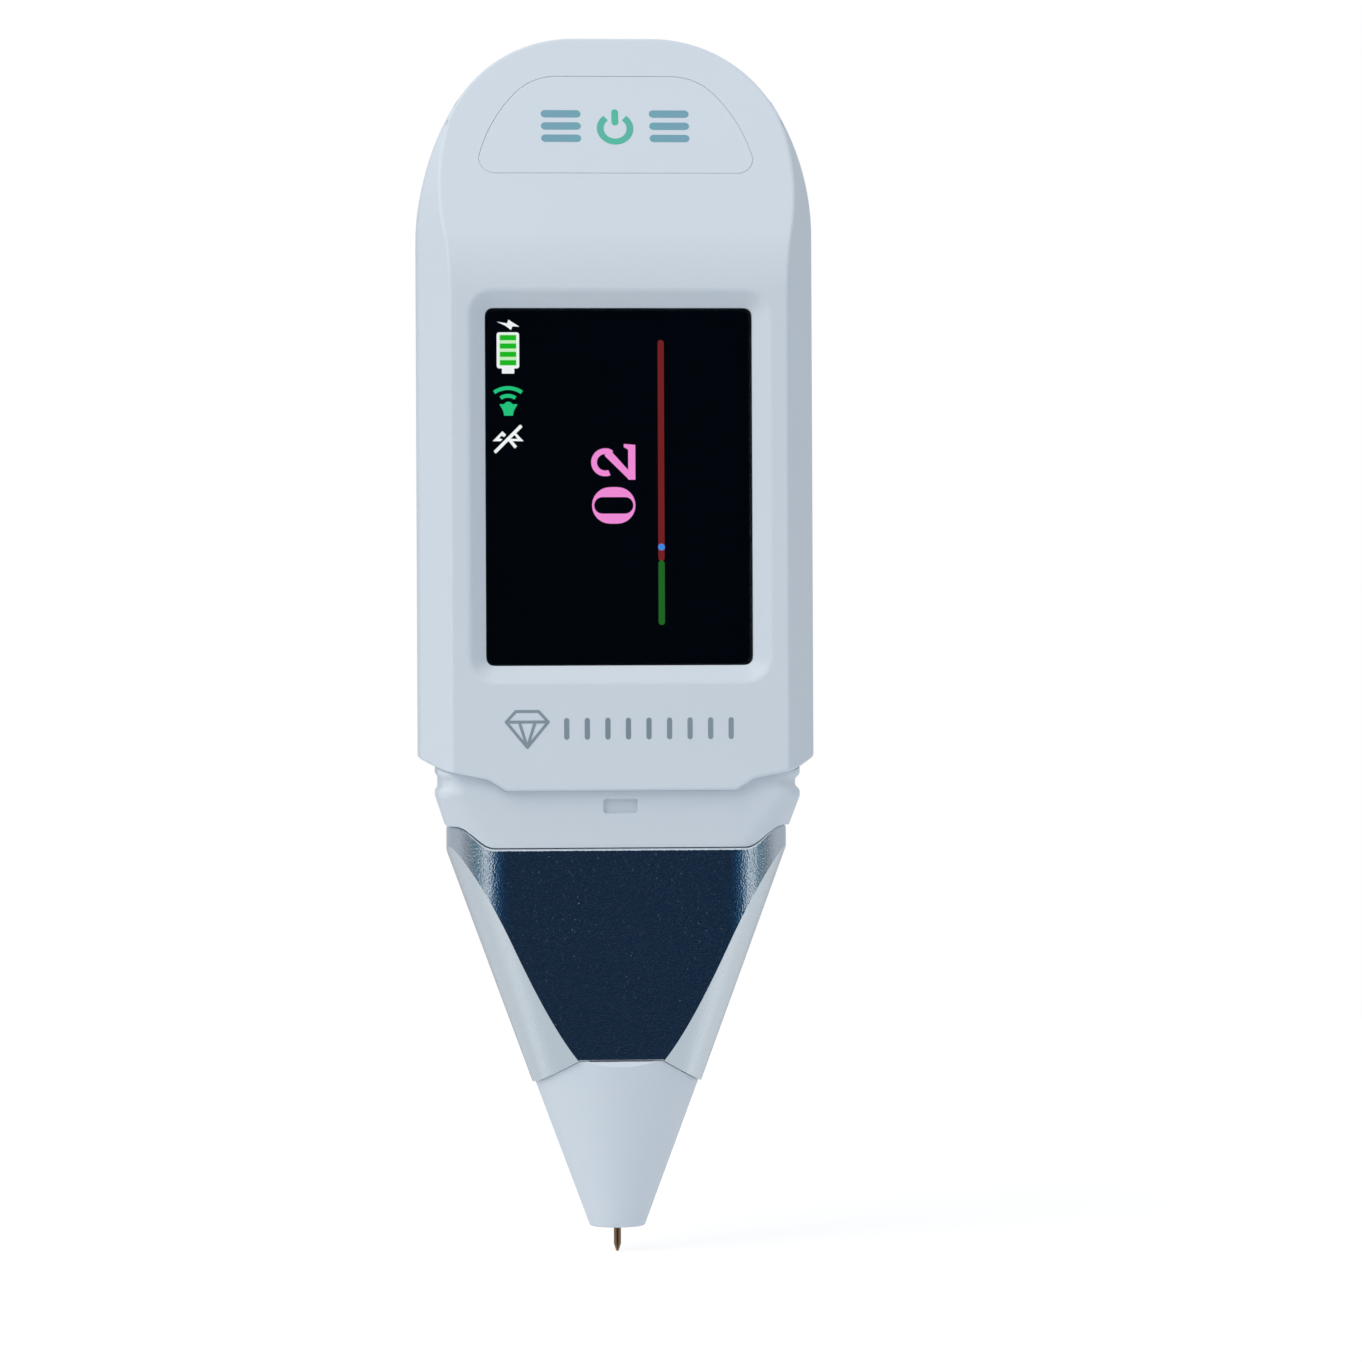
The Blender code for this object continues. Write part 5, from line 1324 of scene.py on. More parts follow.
@dataclass
class PowerKey:
    """The key in the leaning face, with its printed mark."""

    form: HeadForm
    outline: KeyForm
    edge: float = 0.06 * MM
    film: float = 0.02 * MM
    stroke: float = 0.78 * MM
    ring_radius: float = 1.72 * MM
    mark_rise: float = 6.1 * MM
    bar: Point = mm(4.6, 0.95)

    def build(self) -> None:
        """Model the cap with its flange and dress it."""
        cap = self.outline.build("key_cap", self.form, 0.0, -0.8 * MM, 0.0)
        cap.soften(self.form.on_lean, self.edge, 4)
        cap.join(self.outline.build("key_skirt", self.form, 0.05 * MM, -2.6 * MM, -0.07 * MM),
                 self.outline.build("flange", self.form, 0.4 * MM, -3.1 * MM, -2.3 * MM))
        cap.dress(KEY_ABS, "power_key", body=Body.KEY)
        self.print_mark()

    def print_mark(self) -> None:
        """Print a power symbol with a block of three bars on each side, as thin plates."""
        turn = math.radians(38)
        ring = Workpiece.drawn("mark_ring", Plane.PLAN, (self.ring_radius * math.sin(turn),
                                                       self.ring_radius * math.cos(turn)),
                               [Turn((0.0, 0.0), -284, 48)], 0.0)
        with ring.editing(everything=True):
            ring.extrude(Vector((0, 0, self.film)))
        ring.apply("SOLIDIFY", thickness=self.stroke, offset=0.0, use_even_offset=True)
        ring.face_outwards()
        ring.shift(Matrix.Translation((0, self.mark_rise - 0.3 * MM, 0)))
        bars = [((0.0, self.mark_rise + 1.15 * MM), (self.stroke, 2.1 * MM))]
        bars += [((side * 6.25 * MM, self.mark_rise + row * 1.6 * MM), self.bar)
                 for side in (-1, 1) for row in (1, 0, -1)]
        plates = [ring]
        plates += [Workpiece.slab(f"mark_bar_{index}", Plane.PLAN, centre, size, 0.0, self.film,
                                  min(size) / HALF_ROUND, 6)
                   for index, (centre, size) in enumerate(bars)]
        for plate in plates:
            plate.shift(self.form.lean_frame(self.outline.rise))
            plate.dress(KEY_INK, body=Body.KEY)


@dataclass
class Display:
    """The picture on the display, as thin lit plates in front of the panel.

    Its methods take places and sizes in millimetres, and a layer: how many plates
    the new one lies on.
    """

    level: float = -7.0 * MM
    film: float = 0.04 * MM

    def ends(self, layer: int) -> Point:
        """Return the levels of a plate's back and front."""
        near = self.level - self.film * layer
        return near, near - self.film

    def shape(self, name: str, finish: Finish, points: Sequence[Point], layer: int = 0) -> None:
        """Lay a lit plate with straight sides through its corner points on the panel."""
        Workpiece.polygon(f"picture_{name}", Plane.FRONT, metres(points),
                          *self.ends(layer)).dress(finish)

    def bar(self, name: str, finish: Finish, centre: Point, size: Point, corner: float,
            layer: int = 0) -> None:
        """Lay a lit rectangle with round corners on the panel.

        Args:
            name: The plate's name.
            finish: The light that it gives.
            centre: Its middle, across and up.
            size: Its width and height.
            corner: The radius of its corners.
            layer: How many plates it lies on.
        """
        Workpiece.slab(f"picture_{name}", Plane.FRONT, mm(*centre), mm(*size),
                       *self.ends(layer), corner * MM, 6).dress(finish)

    def band(self, name: str, finish: Finish, centre: Point, radius: float, width: float,
             first: float, last: float) -> None:
        """Lay a lit arc on the panel.

        Args:
            name: The plate's name.
            finish: The light that it gives.
            centre: The arc's centre, across and up.
            radius: The radius of its middle line.
            width: How broad it is.
            first: The angle that it starts at, in degrees.
            last: The angle that it ends at.
        """
        middle = mm(*centre)
        (start, step_in) = ((middle[0] + reach * MM * math.cos(math.radians(turn)),
                             middle[1] + reach * MM * math.sin(math.radians(turn)))
                            for reach, turn in ((radius + width / 2, first),
                                                (radius - width / 2, last)))
        Workpiece.prism(f"picture_{name}", Plane.FRONT, start, [
            Turn(middle, last - first, 20), Line(step_in), Turn(middle, first - last, 20),
            Line(start)], *self.ends(0)).dress(finish)

    def build(self) -> None:
        """Draw the charge, sound and plug symbols, the reading and the scale."""
        white, green, mint, pink = (LIT[tone] for tone in ("white", "green", "mint", "pink"))
        self.shape("bolt", white, [(-13.84, 73.0), (-12.63, 72.8), (-12.5, 73.24), (-12.0, 72.9),
                                   (-11.24, 72.42), (-12.03, 72.46), (-12.2, 72.04),
                                   (-12.8, 72.5)])
        self.bar("cell", white, (-12.56, 69.7), (2.58, 4.14), 0.3)
        self.bar("cell_tip", white, (-12.55, 67.36), (1.42, 0.64), 0.08)
        self.bar("cell_inner", LIT["pale_green"], (-12.56, 69.73), (1.98, 3.6), 0.1, 1)
        for index in range(4):
            self.bar(f"charge_{index}", green, (-12.55, 71.15 - 0.955 * index), (1.86, 0.58),
                     0.04, 2)
        self.band("sound_outer", mint, (-12.57, 62.61), 2.77, 0.44, 55, 125)
        self.band("sound_inner", mint, (-12.57, 62.97), 1.52, 0.44, 56, 124)
        self.shape("horn", mint, [(-13.56, 63.53), (-13.05, 63.53), (-12.8, 63.75),
                                  (-12.54, 63.83), (-12.28, 63.75), (-12.03, 63.53),
                                  (-11.48, 63.53), (-11.92, 62.75), (-12.02, 62.21),
                                  (-13.02, 62.21), (-13.12, 62.75)])
        self.shape("slash", white, [(-14.25, 58.14), (-14.0, 57.86), (-10.93, 60.91),
                                    (-11.18, 61.21)])
        self.shape("plug_left", white, [(-14.36, 59.28), (-13.24, 60.44), (-12.81, 60.01),
                                        (-13.07, 59.74), (-13.3, 59.94), (-13.62, 59.62),
                                        (-13.22, 59.5), (-13.5, 59.28)])
        self.shape("plug_right", white, [(-12.55, 59.3), (-10.8, 59.28), (-11.66, 60.2),
                                         (-11.86, 60.0), (-11.5, 59.56), (-12.3, 59.56)])
        self.shape("plug_leg", white, [(-12.6, 59.36), (-12.34, 59.6), (-11.56, 58.7),
                                       (-11.82, 58.44)])
        self.bar("figure_0", pink, (-0.48, 51.9), (5.0, 4.2), 2.09)
        self.bar("figure_0_hollow", PANEL, (-0.48, 51.9), (4.5, 1.9), 0.94, 1)
        self.shape("figure_2_foot", pink, [(2.02, 54.85), (2.02, 58.85), (0.7, 58.95),
                                           (0.7, 58.6), (1.2, 58.3), (1.2, 54.85)])
        self.shape("figure_2_stroke", pink, [(1.3, 54.85), (1.3, 55.85), (-1.1, 58.5),
                                             (-1.5, 57.6)], 1)
        self.band("figure_2_bow", pink, (-1.45, 56.85), 1.28, 0.66, 55, 292)
        self.bar("scale_red", LIT["red"], (4.99, 58.2), (0.72, 25.4), 0.35)
        self.bar("scale_green", LIT["dark_green"], (4.99, 41.85), (0.72, 7.4), 0.35, 1)
        self.bar("scale_dot", LIT["blue"], (4.99, 47.1), (0.8, 0.8), 0.395, 2)


@dataclass
class Neck:
    """The white neck between the head and the grip, with a snap groove in each side."""

    head: HeadForm
    grip: Grip
    half_width: float = 20.8 * MM
    half_depth: float = 10.4 * MM
    corner: float = 3.0 * MM
    groove: float = 0.54 * MM
    top_gap: float = 0.03 * MM
    foot_gap: float = 0.08 * MM
    foot_step: float = 0.25 * MM
    dimple: Point = (0.0, 17.45 * MM)

    def build(self) -> None:
        """Model the neck and dress it."""
        neck = self.band()
        upper = self.head.foot_cutter("neck_top_cutter")
        upper.join(Workpiece.slab("neck_top_block", Plane.PLAN, (0.0, 0.0), mm(80, 80),
                                  5 * MM, 19 * MM))
        upper.shift(Matrix.Translation((0, 0, -self.top_gap)))
        neck.combine(upper, Sum.INTERSECT)
        neck.cut(self.grip.edge_cutter("neck_foot_cutter", self.grip.rim_points(self.foot_gap),
                                       -40 * MM))
        self.add_core(neck)
        front = -self.half_depth
        neck.cut(Workpiece.slab("dimple", Plane.FRONT, self.dimple, mm(3.9, 1.7), front - MM,
                                front + 0.8 * MM, 0.35 * MM, 4))
        neck.soften(lambda end: end.y < front + 0.9 * MM and abs(end.x) < 2 * MM
                    and abs(end.z - self.dimple[1]) < MM, 0.14 * MM, 4, sharper=60)
        neck.soften(lambda end: abs(end.x) > 19.5 * MM and 18 * MM < end.z < 21.3 * MM,
                    0.2 * MM, 3, sharper=25)
        neck.dress(WHITE_ABS, "neck_body")

    def band(self) -> Workpiece:
        """Model the outer band from sections up its height, with the grooves in its sides.

        Returns:
            The band.
        """
        waist, depth = self.grip.half_width, self.grip.half_depth
        outer, inner = self.half_width, self.half_width - self.groove
        sections = [(level * MM, waist, depth - self.foot_step, self.grip.corner)
                    for level in (10.3, 12.5)]
        sections.append((14.7 * MM, waist, depth, 4.9 * MM))
        sections += [(level * MM, across, self.half_depth, self.corner) for level, across in (
            (18.46, outer), (19.16, outer), (19.7, inner), (20.46, inner), (21.0, outer),
            (22.9, outer))]
        return Workpiece.lofted("neck_moulding", sections)

    def add_core(self, neck: Workpiece) -> None:
        """Add the core that fills the grip, the stem below it and the root inside the head.

        Args:
            neck: The neck to add them to.
        """
        core = self.grip.solid("neck_core", 1.2 * MM, -11.7 * MM, 13.9 * MM)
        stem = Workpiece.turned("core_stem", (0.0, -19.3 * MM),
                                lines((5.6, -19.3), (5.6, -9.5), (0.0, -9.5)), 48)
        root = Workpiece.polygon("neck_root", Plane.PLAN, metres([
            (20.5, -4.0), (18.0, -9.2), (-18.0, -9.2), (-20.5, -4.0), (-20.5, 8.2),
            (-19.5, 9.2), (19.5, 9.2), (20.5, 8.2)]), 17.7 * MM, 24.0 * MM)
        neck.join(core, stem, root)
        for side in (-1, 1):
            middle = side * 18.5 * MM
            neck.join(Workpiece.slab("neck_ear", Plane.PLAN, (middle, 0.7 * MM), mm(4.0, 2.7),
                                     17.7 * MM, 30.3 * MM))
            neck.cut(Workpiece.drum("ear_hole", (middle, 27.4 * MM), 1.2 * MM, -4 * MM, 4 * MM,
                                    24))
        neck.cut(Workpiece.slab("neck_pocket", Plane.PLAN, (0.0, 0.0), mm(14.6, 8.0),
                                -4.5 * MM, 35 * MM, 1.6 * MM, 6))
        neck.cut(Workpiece.turned("sleeve_bore", (0.0, -25 * MM),
                                  lines((3.3, -25), (3.3, -3), (0.0, -3)), 48))


@dataclass
class Grip:
    """The plated grip: a flat-sided shell with round corners, kept inside a cone."""

    half_width: float = 19.6 * MM
    half_depth: float = 9.7 * MM
    corner: float = 7.2 * MM
    foot_radius: float = 9.79 * MM
    slope: float = 0.3669
    wall: float = 0.9 * MM
    foot: float = -14.7 * MM
    top: float = 14.7 * MM

    def solid(self, name: str, inset: float, low: float, high: float) -> Workpiece:
        """Model the grip's solid, drawn in by an inset.

        Args:
            name: The piece's name.
            inset: How far its walls stand inside the outer ones.
            low: The height of its foot.
            high: The height of its top.

        Returns:
            The closed solid.
        """
        size = (2 * (self.half_width - inset), 2 * (self.half_depth - inset))
        block = Workpiece.slab(name, Plane.PLAN, (0.0, 0.0), size, low, high,
                               self.corner - inset, 20)
        side = inset * math.sqrt(1 + self.slope ** 2)
        heights = (low - 2 * MM, high + 2 * MM)
        radii = [self.foot_radius + (height - self.foot) * self.slope - side for height in heights]
        cone = Workpiece.turned(name + "_cone", (0.0, heights[0]), [
            Line((radii[0], heights[0])), Line((radii[1], heights[1])), Line((0.0, heights[1]))],
            180)
        block.combine(cone, Sum.INTERSECT)
        return block

    @staticmethod
    def rim_points(rise: float) -> list[Point]:
        """Return the right half of the upper edge, which sweeps from a level rim up to a tab.

        Args:
            rise: How far above the grip's own edge it runs.

        Returns:
            The points from the middle outwards.
        """
        points = [(0.0, 12.6 * MM + rise)]
        for step in range(17):
            share = step / 16
            points.append(((14.4 + 4.5 * share) * MM,
                           (12.6 + 1.22 * (1 - math.cos(math.pi * share))) * MM + rise))
        points.append((REACH, 15.04 * MM + rise))
        return points

    @staticmethod
    def foot_points(rise: float) -> list[Point]:
        """Return the right half of the lower edge, a level peak that falls to the sides.

        Args:
            rise: How far above the grip's own edge it runs.

        Returns:
            The points from the middle outwards.
        """
        fall = 2.7 / (9.79 - 5.25)
        return [(across * MM, up * MM + rise) for across, up in (
            (0.0, -11.7), (4.75, -11.7), (5.25, -12.0), (30, -14.7 - fall * (30 - 9.79)))]

    @staticmethod
    def edge_cutter(name: str, points: Sequence[Point], limit: float) -> Workpiece:
        """Model the solid between an edge line, mirrored to the left, and a level beyond it.

        Args:
            name: The piece's name.
            points: The right half of the edge line, from the middle outwards.
            limit: The height of the level.

        Returns:
            The cutter.
        """
        end = points[-1][0]
        outline = [(-end, limit), *mirrored(points), *points[1:], (end, limit)]
        return Workpiece.polygon(name, Plane.FRONT, outline, -REACH, REACH)

    def outer(self, end: Vector) -> bool:
        """Tell whether a point lies on the grip's outer surface.

        Args:
            end: The point.

        Returns:
            True where it does.
        """
        over_x = abs(end.x) - (self.half_width - self.corner)
        over_y = abs(end.y) - (self.half_depth - self.corner)
        prism = math.hypot(max(over_x, 0), max(over_y, 0)) + min(max(over_x, over_y), 0)
        cone = math.hypot(end.x, end.y) - self.foot_radius - (end.z - self.foot) * self.slope
        return min(abs(prism - self.corner), abs(cone)) < 0.02 * MM

    def build(self) -> None:
        """Model the shell and dress it."""
        shell = self.solid("grip_casting", 0.0, self.foot - 4 * MM, self.top + 3 * MM)
        shell.cut(self.solid("grip_bore", self.wall, self.foot - 6 * MM, self.top + 6 * MM))
        shell.cut(self.edge_cutter("grip_top", self.rim_points(0.0), self.top + 10 * MM))
        shell.cut(self.edge_cutter("grip_bottom", self.foot_points(0.0), self.foot - 20 * MM))
        shell.soften(lambda end: end.z > 12.4 * MM and self.outer(end), 0.32 * MM, 8, sharper=60)
        shell.soften(lambda end: end.z < -11.4 * MM and self.outer(end), 0.12 * MM, 7, sharper=60)
        shell.crease = 15.0
        shell.dress(CHROME, "grip_shell")


@dataclass
class Nozzle:
    """The white cone below the grip, turned inside and out."""

    mouth: float = -31.5 * MM
    mouth_radius: float = 3.268 * MM
    top: float = -11.7 * MM
    foot: float = -14.7 * MM
    root_radius: float = 9.43 * MM
    slope: float = 0.3669
    edge: float = 0.35 * MM

    def build(self) -> None:
        """Model the nozzle and dress it."""
        rate = (self.root_radius - self.mouth_radius) / (self.foot - self.mouth)
        start = (self.mouth_radius - self.edge, self.mouth)
        nozzle = Workpiece.turned("nozzle_moulding", start, [
            Turn((self.mouth_radius - self.edge, self.mouth + self.edge),
                 90 - math.degrees(math.atan(rate)), 6),
            Line((self.root_radius, self.foot)),
            Line((self.root_radius + (self.top - self.foot) * self.slope, self.top)),
            *lines((5.9, -11.7), (5.9, -19.6), (3.3, -19.6), (3.3, -28.8), (1.8, -28.8),
                   (1.8, -30.7), (0.84, -30.7), (0.84, -31.5)), Line(start)], 144)
        nozzle.cut(Grip.edge_cutter("nozzle_top", Grip.foot_points(-0.05 * MM), 5 * MM))
        for side in (-1, 1):
            corners = metres([(side * 9.0, -11.1), (side * 40, -42.1), (side * 40, -11.1)])
            nozzle.cut(Workpiece.polygon(f"chamfer_{side}", Plane.SIDE, corners, -REACH, REACH))
        nozzle.soften(lambda end: end.z > -16 * MM and math.hypot(end.x, end.y) > 8 * MM,
                      0.12 * MM, 2, sharper=30)
        nozzle.dress(NOZZLE_ABS, "nozzle")


@dataclass
class Needle:
    """The copper needle with its rounded point."""

    radius: float = 0.42 * MM
    tip: float = -34.5 * MM
    top: float = -25.3 * MM
    point: float = 0.2 * MM

    def build(self) -> None:
        """Model the needle and dress it."""
        needle = Workpiece.turned("needle_wire", (0.0, self.tip), [
            Turn((0.0, self.tip + self.point), 80, 8),
            Line((self.radius, self.tip + 0.9 * MM)), Line((self.radius, self.top)),
            Line((0.0, self.top))], 40)
        needle.dress(COPPER, "probe_needle", body=Body.PROBE)


@dataclass
class ProbeSpring:
    """The wound spring behind the needle, which shortens as the needle slides in."""

    radius: float = 1.7 * MM
    wire: float = 0.2 * MM
    turns: int = 7

    def build(self) -> None:
        """Wind the spring between its seats and dress it."""
        low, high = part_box("probe_spring")
        foot, head = low.z + self.wire, high.z - self.wire
        spring = Workpiece.drawn("spring_coil", Plane.FRONT, (self.radius + self.wire, foot),
                                 [Turn((self.radius, foot), 360, 10)], 0.0)
        with spring.editing():
            spring.weld()
        spring.apply("SCREW", axis="Z", iterations=self.turns, steps=20, render_steps=20,
                     screw_offset=(head - foot) / self.turns, use_merge_vertices=False)
        with spring.editing(everything=True):
            bpy.ops.mesh.fill_holes(sides=0)
        spring.face_outwards()
        spring.dress(STEEL, "probe_spring", body=None)
        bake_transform(spring.obj)


@dataclass
class HousingScrews:
    """The four pan-head screws in the back, with a cross recess."""

    head_top: float = 10.0 * MM
    seat: float = 8.7 * MM
    thread: float = 0.4 * MM

    def pattern(self, length: float) -> Workpiece:
        """Model one screw on the needle's axis, pointing down.

        Args:
            length: How far its shank reaches below its seat.

        Returns:
            The screw, with its seat at height 0.
        """
        high = self.head_top - self.seat
        path: list[Line | Turn] = [
            Line((1.35 * MM, high)), Turn((1.35 * MM, high - 0.55 * MM), -90, 6),
            *lines((1.9, 0.0), (0.9, 0.0))]
        depth = 0.0
        while depth < length - 1.5 * MM:
            path += [Line((0.72 * MM, -depth - self.thread / 2)),
                     Line((0.9 * MM, -depth - self.thread))]
            depth += self.thread
        path += [Line((0.25 * MM, -length)), Line((0.0, -length))]
        screw = Workpiece.turned("screw_pattern", (0.0, high), path, 36)
        for size in (mm(2.3, 0.5), mm(0.5, 2.3)):
            slot = Workpiece.slab("recess", Plane.PLAN, (0.0, 0.0), size, high + 0.1 * MM,
                                  high - 0.7 * MM)
            with slot.editing():
                slot.pick_faces(lambda middle, normal: middle.z < high - 0.6 * MM)
                bpy.ops.transform.resize(value=(0.7, 0.7, 1), center_override=(0, 0, high))
            screw.cut(slot)
        return screw

    def build(self) -> None:
        """Set a screw in each of the four places and dress it."""
        for name in SCREWS:
            across, up = front_place(name)
            screw = self.pattern(self.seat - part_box(name)[0].y)
            screw.obj.name = name.replace("shell_screw", "pan_head_screw")
            screw.shift(Matrix.Translation((across, self.seat, up))
                        @ Matrix.Rotation(-math.pi / 2, 4, "X"))
            screw.dress(SCREW_STEEL, name)


@dataclass
class ChargeSocket:
    """The charging socket in the top end: a rolled steel shell and a tongue with contacts."""

    wall: float = 0.35 * MM
    strip: Point = mm(0.25, 2.2)
    strip_top: float = 1.6 * MM
    film: float = 0.03 * MM
    pitch: float = 0.5 * MM
    contacts: int = 12

    def build(self) -> None:
        """Model the shell, the tongue and its contacts and dress them."""
        low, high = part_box("charge_socket")
        width, depth = high.x - low.x, high.y - low.y
        middle = (0.0, (low.y + high.y) / 2)
        shell = Workpiece.slab("charge_shell", Plane.PLAN, middle, (width, depth), low.z, high.z,
                               depth / HALF_ROUND, 12)
        bore = (width - 2 * self.wall, depth - 2 * self.wall)
        shell.cut(Workpiece.slab("charge_bore", Plane.PLAN, middle, bore, low.z + 0.9 * MM,
                                 high.z + MM, bore[1] / HALF_ROUND, 12))
        shell.soften(lambda end: end.z > high.z - TINY, 0.1 * MM, 2, sharper=60)
        shell.dress(STEEL, "charge_socket")
        self.build_tongue()

    def build_tongue(self) -> None:
        """Model the tongue, with a row of contacts on each side."""
        low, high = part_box("charge_tongue")
        tongue = Workpiece.slab("charge_tab", Plane.PLAN,
                                ((low.x + high.x) / 2, (low.y + high.y) / 2),
                                (high.x - low.x, high.y - low.y), low.z, high.z)
        tongue.soften(lambda end: end.z > high.z - TINY, 0.15 * MM, 3, sharper=60)
        tongue.dress(BLACK_PLASTIC, "charge_tongue")
        start = (-self.pitch * (self.contacts - 1) / 2, high.z - self.strip_top)
        strips = [Workpiece.slab("contact_0", Plane.FRONT, start, self.strip, low.y,
                                 low.y - self.film, self.strip[0] / 4, 2)]
        for index in range(1, 2 * self.contacts):
            move = Vector((self.pitch * (index % self.contacts), 0, 0))
            if index >= self.contacts:
                move.y = high.y - low.y + self.film
            strips.append(strips[0].copy(f"contact_{index}", move))
        for strip in strips:
            strip.dress(GOLD)


@dataclass
class LowerMark:
    """A plain grey print below the screen: a cut stone in outline and a row of nine bars."""

    head: HeadForm
    stone: Point = mm(-10.7, 26.4)
    row: Point = mm(3.2, 26.3)
    bar: Point = mm(0.6, 2.5)
    pitch: float = 2.35 * MM
    film: float = 0.016 * MM
    stroke: float = 0.34 * MM

    def build(self) -> None:
        """Print the marks as thin plates on the head's front."""
        left, right, foot = (-2.4, 0.7), (2.4, 0.7), (0.0, -2.2)
        crown = ((-1.3, 1.9), (1.3, 1.9))
        facets = [(left, crown[0]), crown, (crown[1], right), (right, foot), (foot, left),
                  (left, right), ((-0.9, 0.7), foot), ((0.9, 0.7), foot)]
        for index, (start, end) in enumerate(facets):
            run = Vector((end[0] - start[0], end[1] - start[1])) * MM
            film = self.film * (1 + index / 8)
            bar = Workpiece.slab(f"print_facet_{index}", Plane.FRONT, (0.0, 0.0),
                                 (run.length + self.stroke, self.stroke), -film, 0.0,
                                 self.stroke / HALF_ROUND, 4)
            bar.shift(Matrix.Translation((self.stone[0] + (start[0] + end[0]) / 2 * MM,
                                          self.head.front,
                                          self.stone[1] + (start[1] + end[1]) / 2 * MM))
                      @ Matrix.Rotation(-math.atan2(run.y, run.x), 4, "Y"))
            bar.dress(GREY_INK)
        for index in range(9):
            across = self.row[0] + (index - 4) * self.pitch
            Workpiece.slab(f"print_bar_{index}", Plane.FRONT, (across, self.row[1]), self.bar,
                           self.head.front - self.film, self.head.front, 0.3 * MM,
                           4).dress(GREY_INK)


@dataclass
class Inside:
    """The finishes of the CAD nodes that keep their shape."""

    nodes: dict[str, bpy.types.Object]

    GROUPS = {
        GLASS: ("display_window",), FOAM: ("display_gasket", "battery_pad"),
        PANEL: ("display_panel",), POUCH: ("battery_cell",), COPPER: ("grip_contact",),
        STEEL: ("display_tray", "shield_can", "switch_body", "probe_sleeve"),
        BRASS: ("probe_bush", "probe_plug"),
        AMBER_FILM: ("display_flex", "key_ribbon", "probe_ribbon"),
        WHITE_RESIN: ("flex_socket", "probe_socket", "charge_header", "battery_socket",
                      "key_socket", "probe_carrier"),
        BOARD: ("main_board", "key_board", "charge_board", "probe_board"),
        BLACK_PLASTIC: ("processor_chip", "power_chip", "amplifier_chip", "switch_button",
                        "buzzer", "probe_heater"),
        RED_WIRE: ("battery_lead_red", "probe_lead_red"),
        BLACK_WIRE: ("battery_lead_black", "charge_lead", "probe_lead_black"),
    }

    def build(self) -> None:
        """Give every node that is still shown its finish."""
        finishes = {name: finish for finish, names in self.GROUPS.items() for name in names}
        for name, node in self.nodes.items():
            if node.hide_render:
                continue
            if name not in finishes:
                LOG.warning("%s has no finish", name)
                continue
            for slot in node.material_slots:
                slot.material = finishes[name].material()
            LOG.info("%s: %s", name, finishes[name].name)


# The room and the table that the metal mirrors, from the camera's side (0) round to the back (1):
# a navy card in front, whose blue edge runs into a strip lamp, then a slate wall that pales
# towards the back; below, a charcoal mat on a pale table, with a second strip lamp behind.
NAVY, DEEP_BLUE, STEEL_BLUE, SLATE = "#16283A", "#003058", "#4880A0", "#547C8E"
CHARCOAL, WARM_GREY, PALE_WALL = "#323E4A", "#8E9298", "#C0C4CA"
PALE_TABLE, WHITE = "#E2E6E8", "#FFFFFF"
ROOM = [(0.00, NAVY), (0.03, DEEP_BLUE), (0.10, STEEL_BLUE), (0.14, WHITE), (0.16, WHITE),
        (0.23, SLATE), (0.31, SLATE), (0.45, WARM_GREY), (0.65, PALE_WALL)]
TABLE = [(0.09, CHARCOAL), (0.20, PALE_TABLE), (0.64, PALE_TABLE), (0.70, WHITE), (0.75, WHITE),
         (0.80, PALE_TABLE)]


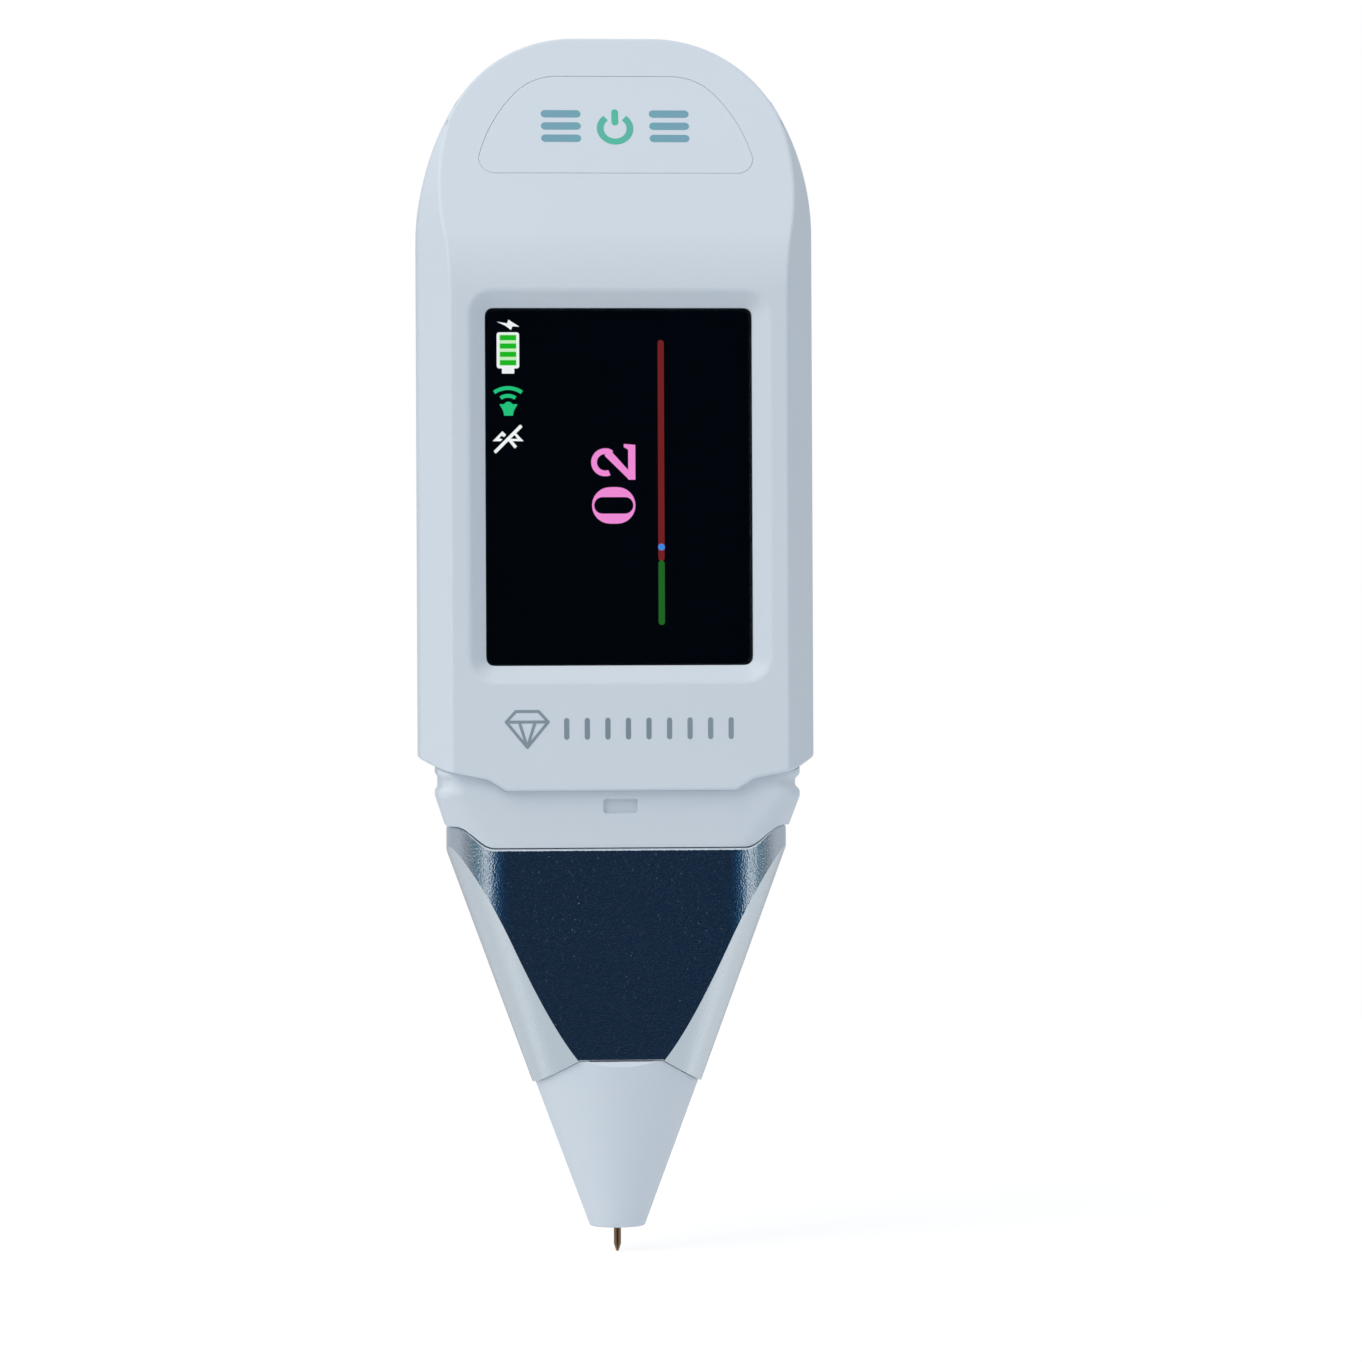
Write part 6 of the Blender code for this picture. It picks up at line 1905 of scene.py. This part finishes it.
@dataclass
class Studio:
    """The camera, the light and the pale floor."""

    distance: float = 620 * MM
    eye_height: float = 31.7 * MM
    azimuth: float = math.radians(-3.31)
    aim: float = 7.67 * MM
    roll: float = math.radians(-0.25)
    lens: float = 141.0
    floor: float = -34.5 * MM
    floor_middle: Point = (0.0, 0.16)
    floor_radius: float = 0.3

    def add_camera(self) -> None:
        """Set the camera in front, a little to the left and level with the screen's foot."""
        place = Vector((math.sin(self.azimuth), -math.cos(self.azimuth), 0)) * self.distance
        right = Vector((-place.y, place.x, 0)).normalized()
        place.z = self.eye_height
        target = right * self.aim + Vector((0, 0, self.eye_height))
        clear_selection()
        bpy.ops.object.camera_add(location=place)
        camera = bpy.context.object
        camera.name = "camera"
        camera.data.lens = self.lens
        camera.data.sensor_width = 36
        camera.data.clip_start = 0.01
        camera.rotation_mode = "QUATERNION"
        turn = (target - place).to_track_quat("-Z", "Y")
        camera.rotation_quaternion = turn @ Quaternion((0, 0, 1), self.roll)
        bpy.context.scene.camera = camera

    def add_lamp(self, name: str, place: Vector, size: float, power: float, colour: str) -> None:
        """Add a soft lamp that points at the tester and doesn't show itself.

        Args:
            name: The lamp's name.
            place: Where it stands.
            size: The side of its square panel.
            power: Its power in watts.
            colour: Its colour, as sRGB hex.
        """
        clear_selection()
        bpy.ops.object.light_add(type="AREA", location=place)
        lamp = bpy.context.object
        lamp.name = name
        lamp.data.shape = "SQUARE"
        lamp.data.size = size
        lamp.data.energy = power
        lamp.data.color = linear(colour)[:3]
        lamp.rotation_mode = "QUATERNION"
        lamp.rotation_quaternion = (Vector((0, 0, 40 * MM)) - place).to_track_quat("-Z", "Y")
        lamp.visible_camera = False
        lamp.visible_glossy = False

    def add_ramp(self, nodes: Nodes, share: Socket, stops: Sequence[tuple[float, str]]) -> Socket:
        """Add a colour ramp to a tree.

        Args:
            nodes: The node tree.
            share: The value that runs along the ramp.
            stops: The place and the colour of each stop.

        Returns:
            The ramp's colour.
        """
        ramp = nodes.add("ValToRGB", {"Fac": share})
        marks = ramp.color_ramp.elements
        while len(marks) < len(stops):
            marks.new(0.5)
        for mark, (place, colour) in zip(marks, stops):
            mark.position = place
            mark.color = linear(colour)
        return ramp.outputs["Color"]

    def add_world(self) -> None:
        """Light the scene from all round, with a room and a table for the metal to mirror."""
        world = bpy.data.worlds.new("studio")
        bpy.context.scene.world = world
        nodes = Nodes(world)
        ray = nodes.add("LightPath").outputs
        way = nodes.add("SeparateXYZ", {0: nodes.add("TexCoord").outputs["Generated"]}).outputs
        share = nodes.add("MapRange", {"From Min": -1.0, "From Max": 1.0,
                                       "Value": way["Y"]}).outputs["Result"]
        walls = nodes.mix(nodes.fade(way["Z"], -0.08, -0.24), self.add_ramp(nodes, share, ROOM),
                          self.add_ramp(nodes, share, TABLE))
        shown = nodes.mix(nodes.fade(way["Z"], 0.25, 0.5), walls, WHITE)
        mirror = nodes.add("Math", {"operation": "MAXIMUM", 0: ray["Is Glossy Ray"],
                                    1: ray["Is Transmission Ray"]})
        soft, seen, mirrored_room = (
            nodes.add("Background", {"Color": colour, "Strength": strength}).outputs[0]
            for colour, strength in (("#EFF7FF", 0.70), (WHITE, 1.0), (shown, 1.0)))
        inside = nodes.blend(mirror.outputs[0], soft, mirrored_room)
        nodes.add("OutputWorld", {"Surface": nodes.blend(ray["Is Camera Ray"], inside, seen)})

    def add_floor(self) -> None:
        """Lay a pale round floor under the needle, white to the camera where no shadow falls."""
        floor = Workpiece.drum("floor", self.floor_middle, self.floor_radius,
                               self.floor - 2 * MM, self.floor, 96, Plane.PLAN)
        material = bpy.data.materials.new("painted_floor")
        nodes = Nodes(material)
        paint = nodes.add("BsdfDiffuse", {"Color": "#F6F8FA"})
        white = nodes.add("Emission", {"Strength": 1.14})
        half = nodes.add("Math", {"operation": "MULTIPLY", 1: 0.70,
                                  0: nodes.add("LightPath").outputs["Is Camera Ray"]})
        nodes.add("OutputMaterial", {"Surface": nodes.blend(half.outputs[0], paint.outputs[0],
                                                            white.outputs[0])})
        floor.obj.data.materials.append(material)
        floor.obj.visible_glossy = False
        floor.obj.visible_transmission = False

    def build(self) -> None:
        """Set up the whole studio."""
        self.add_camera()
        self.add_world()
        self.add_floor()
        self.add_lamp("key_lamp", Vector((-0.80, -0.72, 1.08)), 0.9, 11.1, "#FFFBF6")
        bpy.context.scene.view_settings.view_transform = "Standard"


def main() -> None:
    """Load the frame, build the tester's looks on it and set up the studio."""
    logging.basicConfig(level=logging.INFO, format="%(message)s")
    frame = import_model()
    clear_selection()
    form, key, grip = HeadForm(), KeyForm(), Grip()
    for maker in (Studio(), Head(form, key), PowerKey(form, key), Display(), LowerMark(form),
                  Neck(form, grip), grip, Nozzle(), Needle(), ProbeSpring(), HousingScrews(),
                  ChargeSocket(), Inside(frame["nodes"])):
        maker.build()


if __name__ == "__main__":
    main()
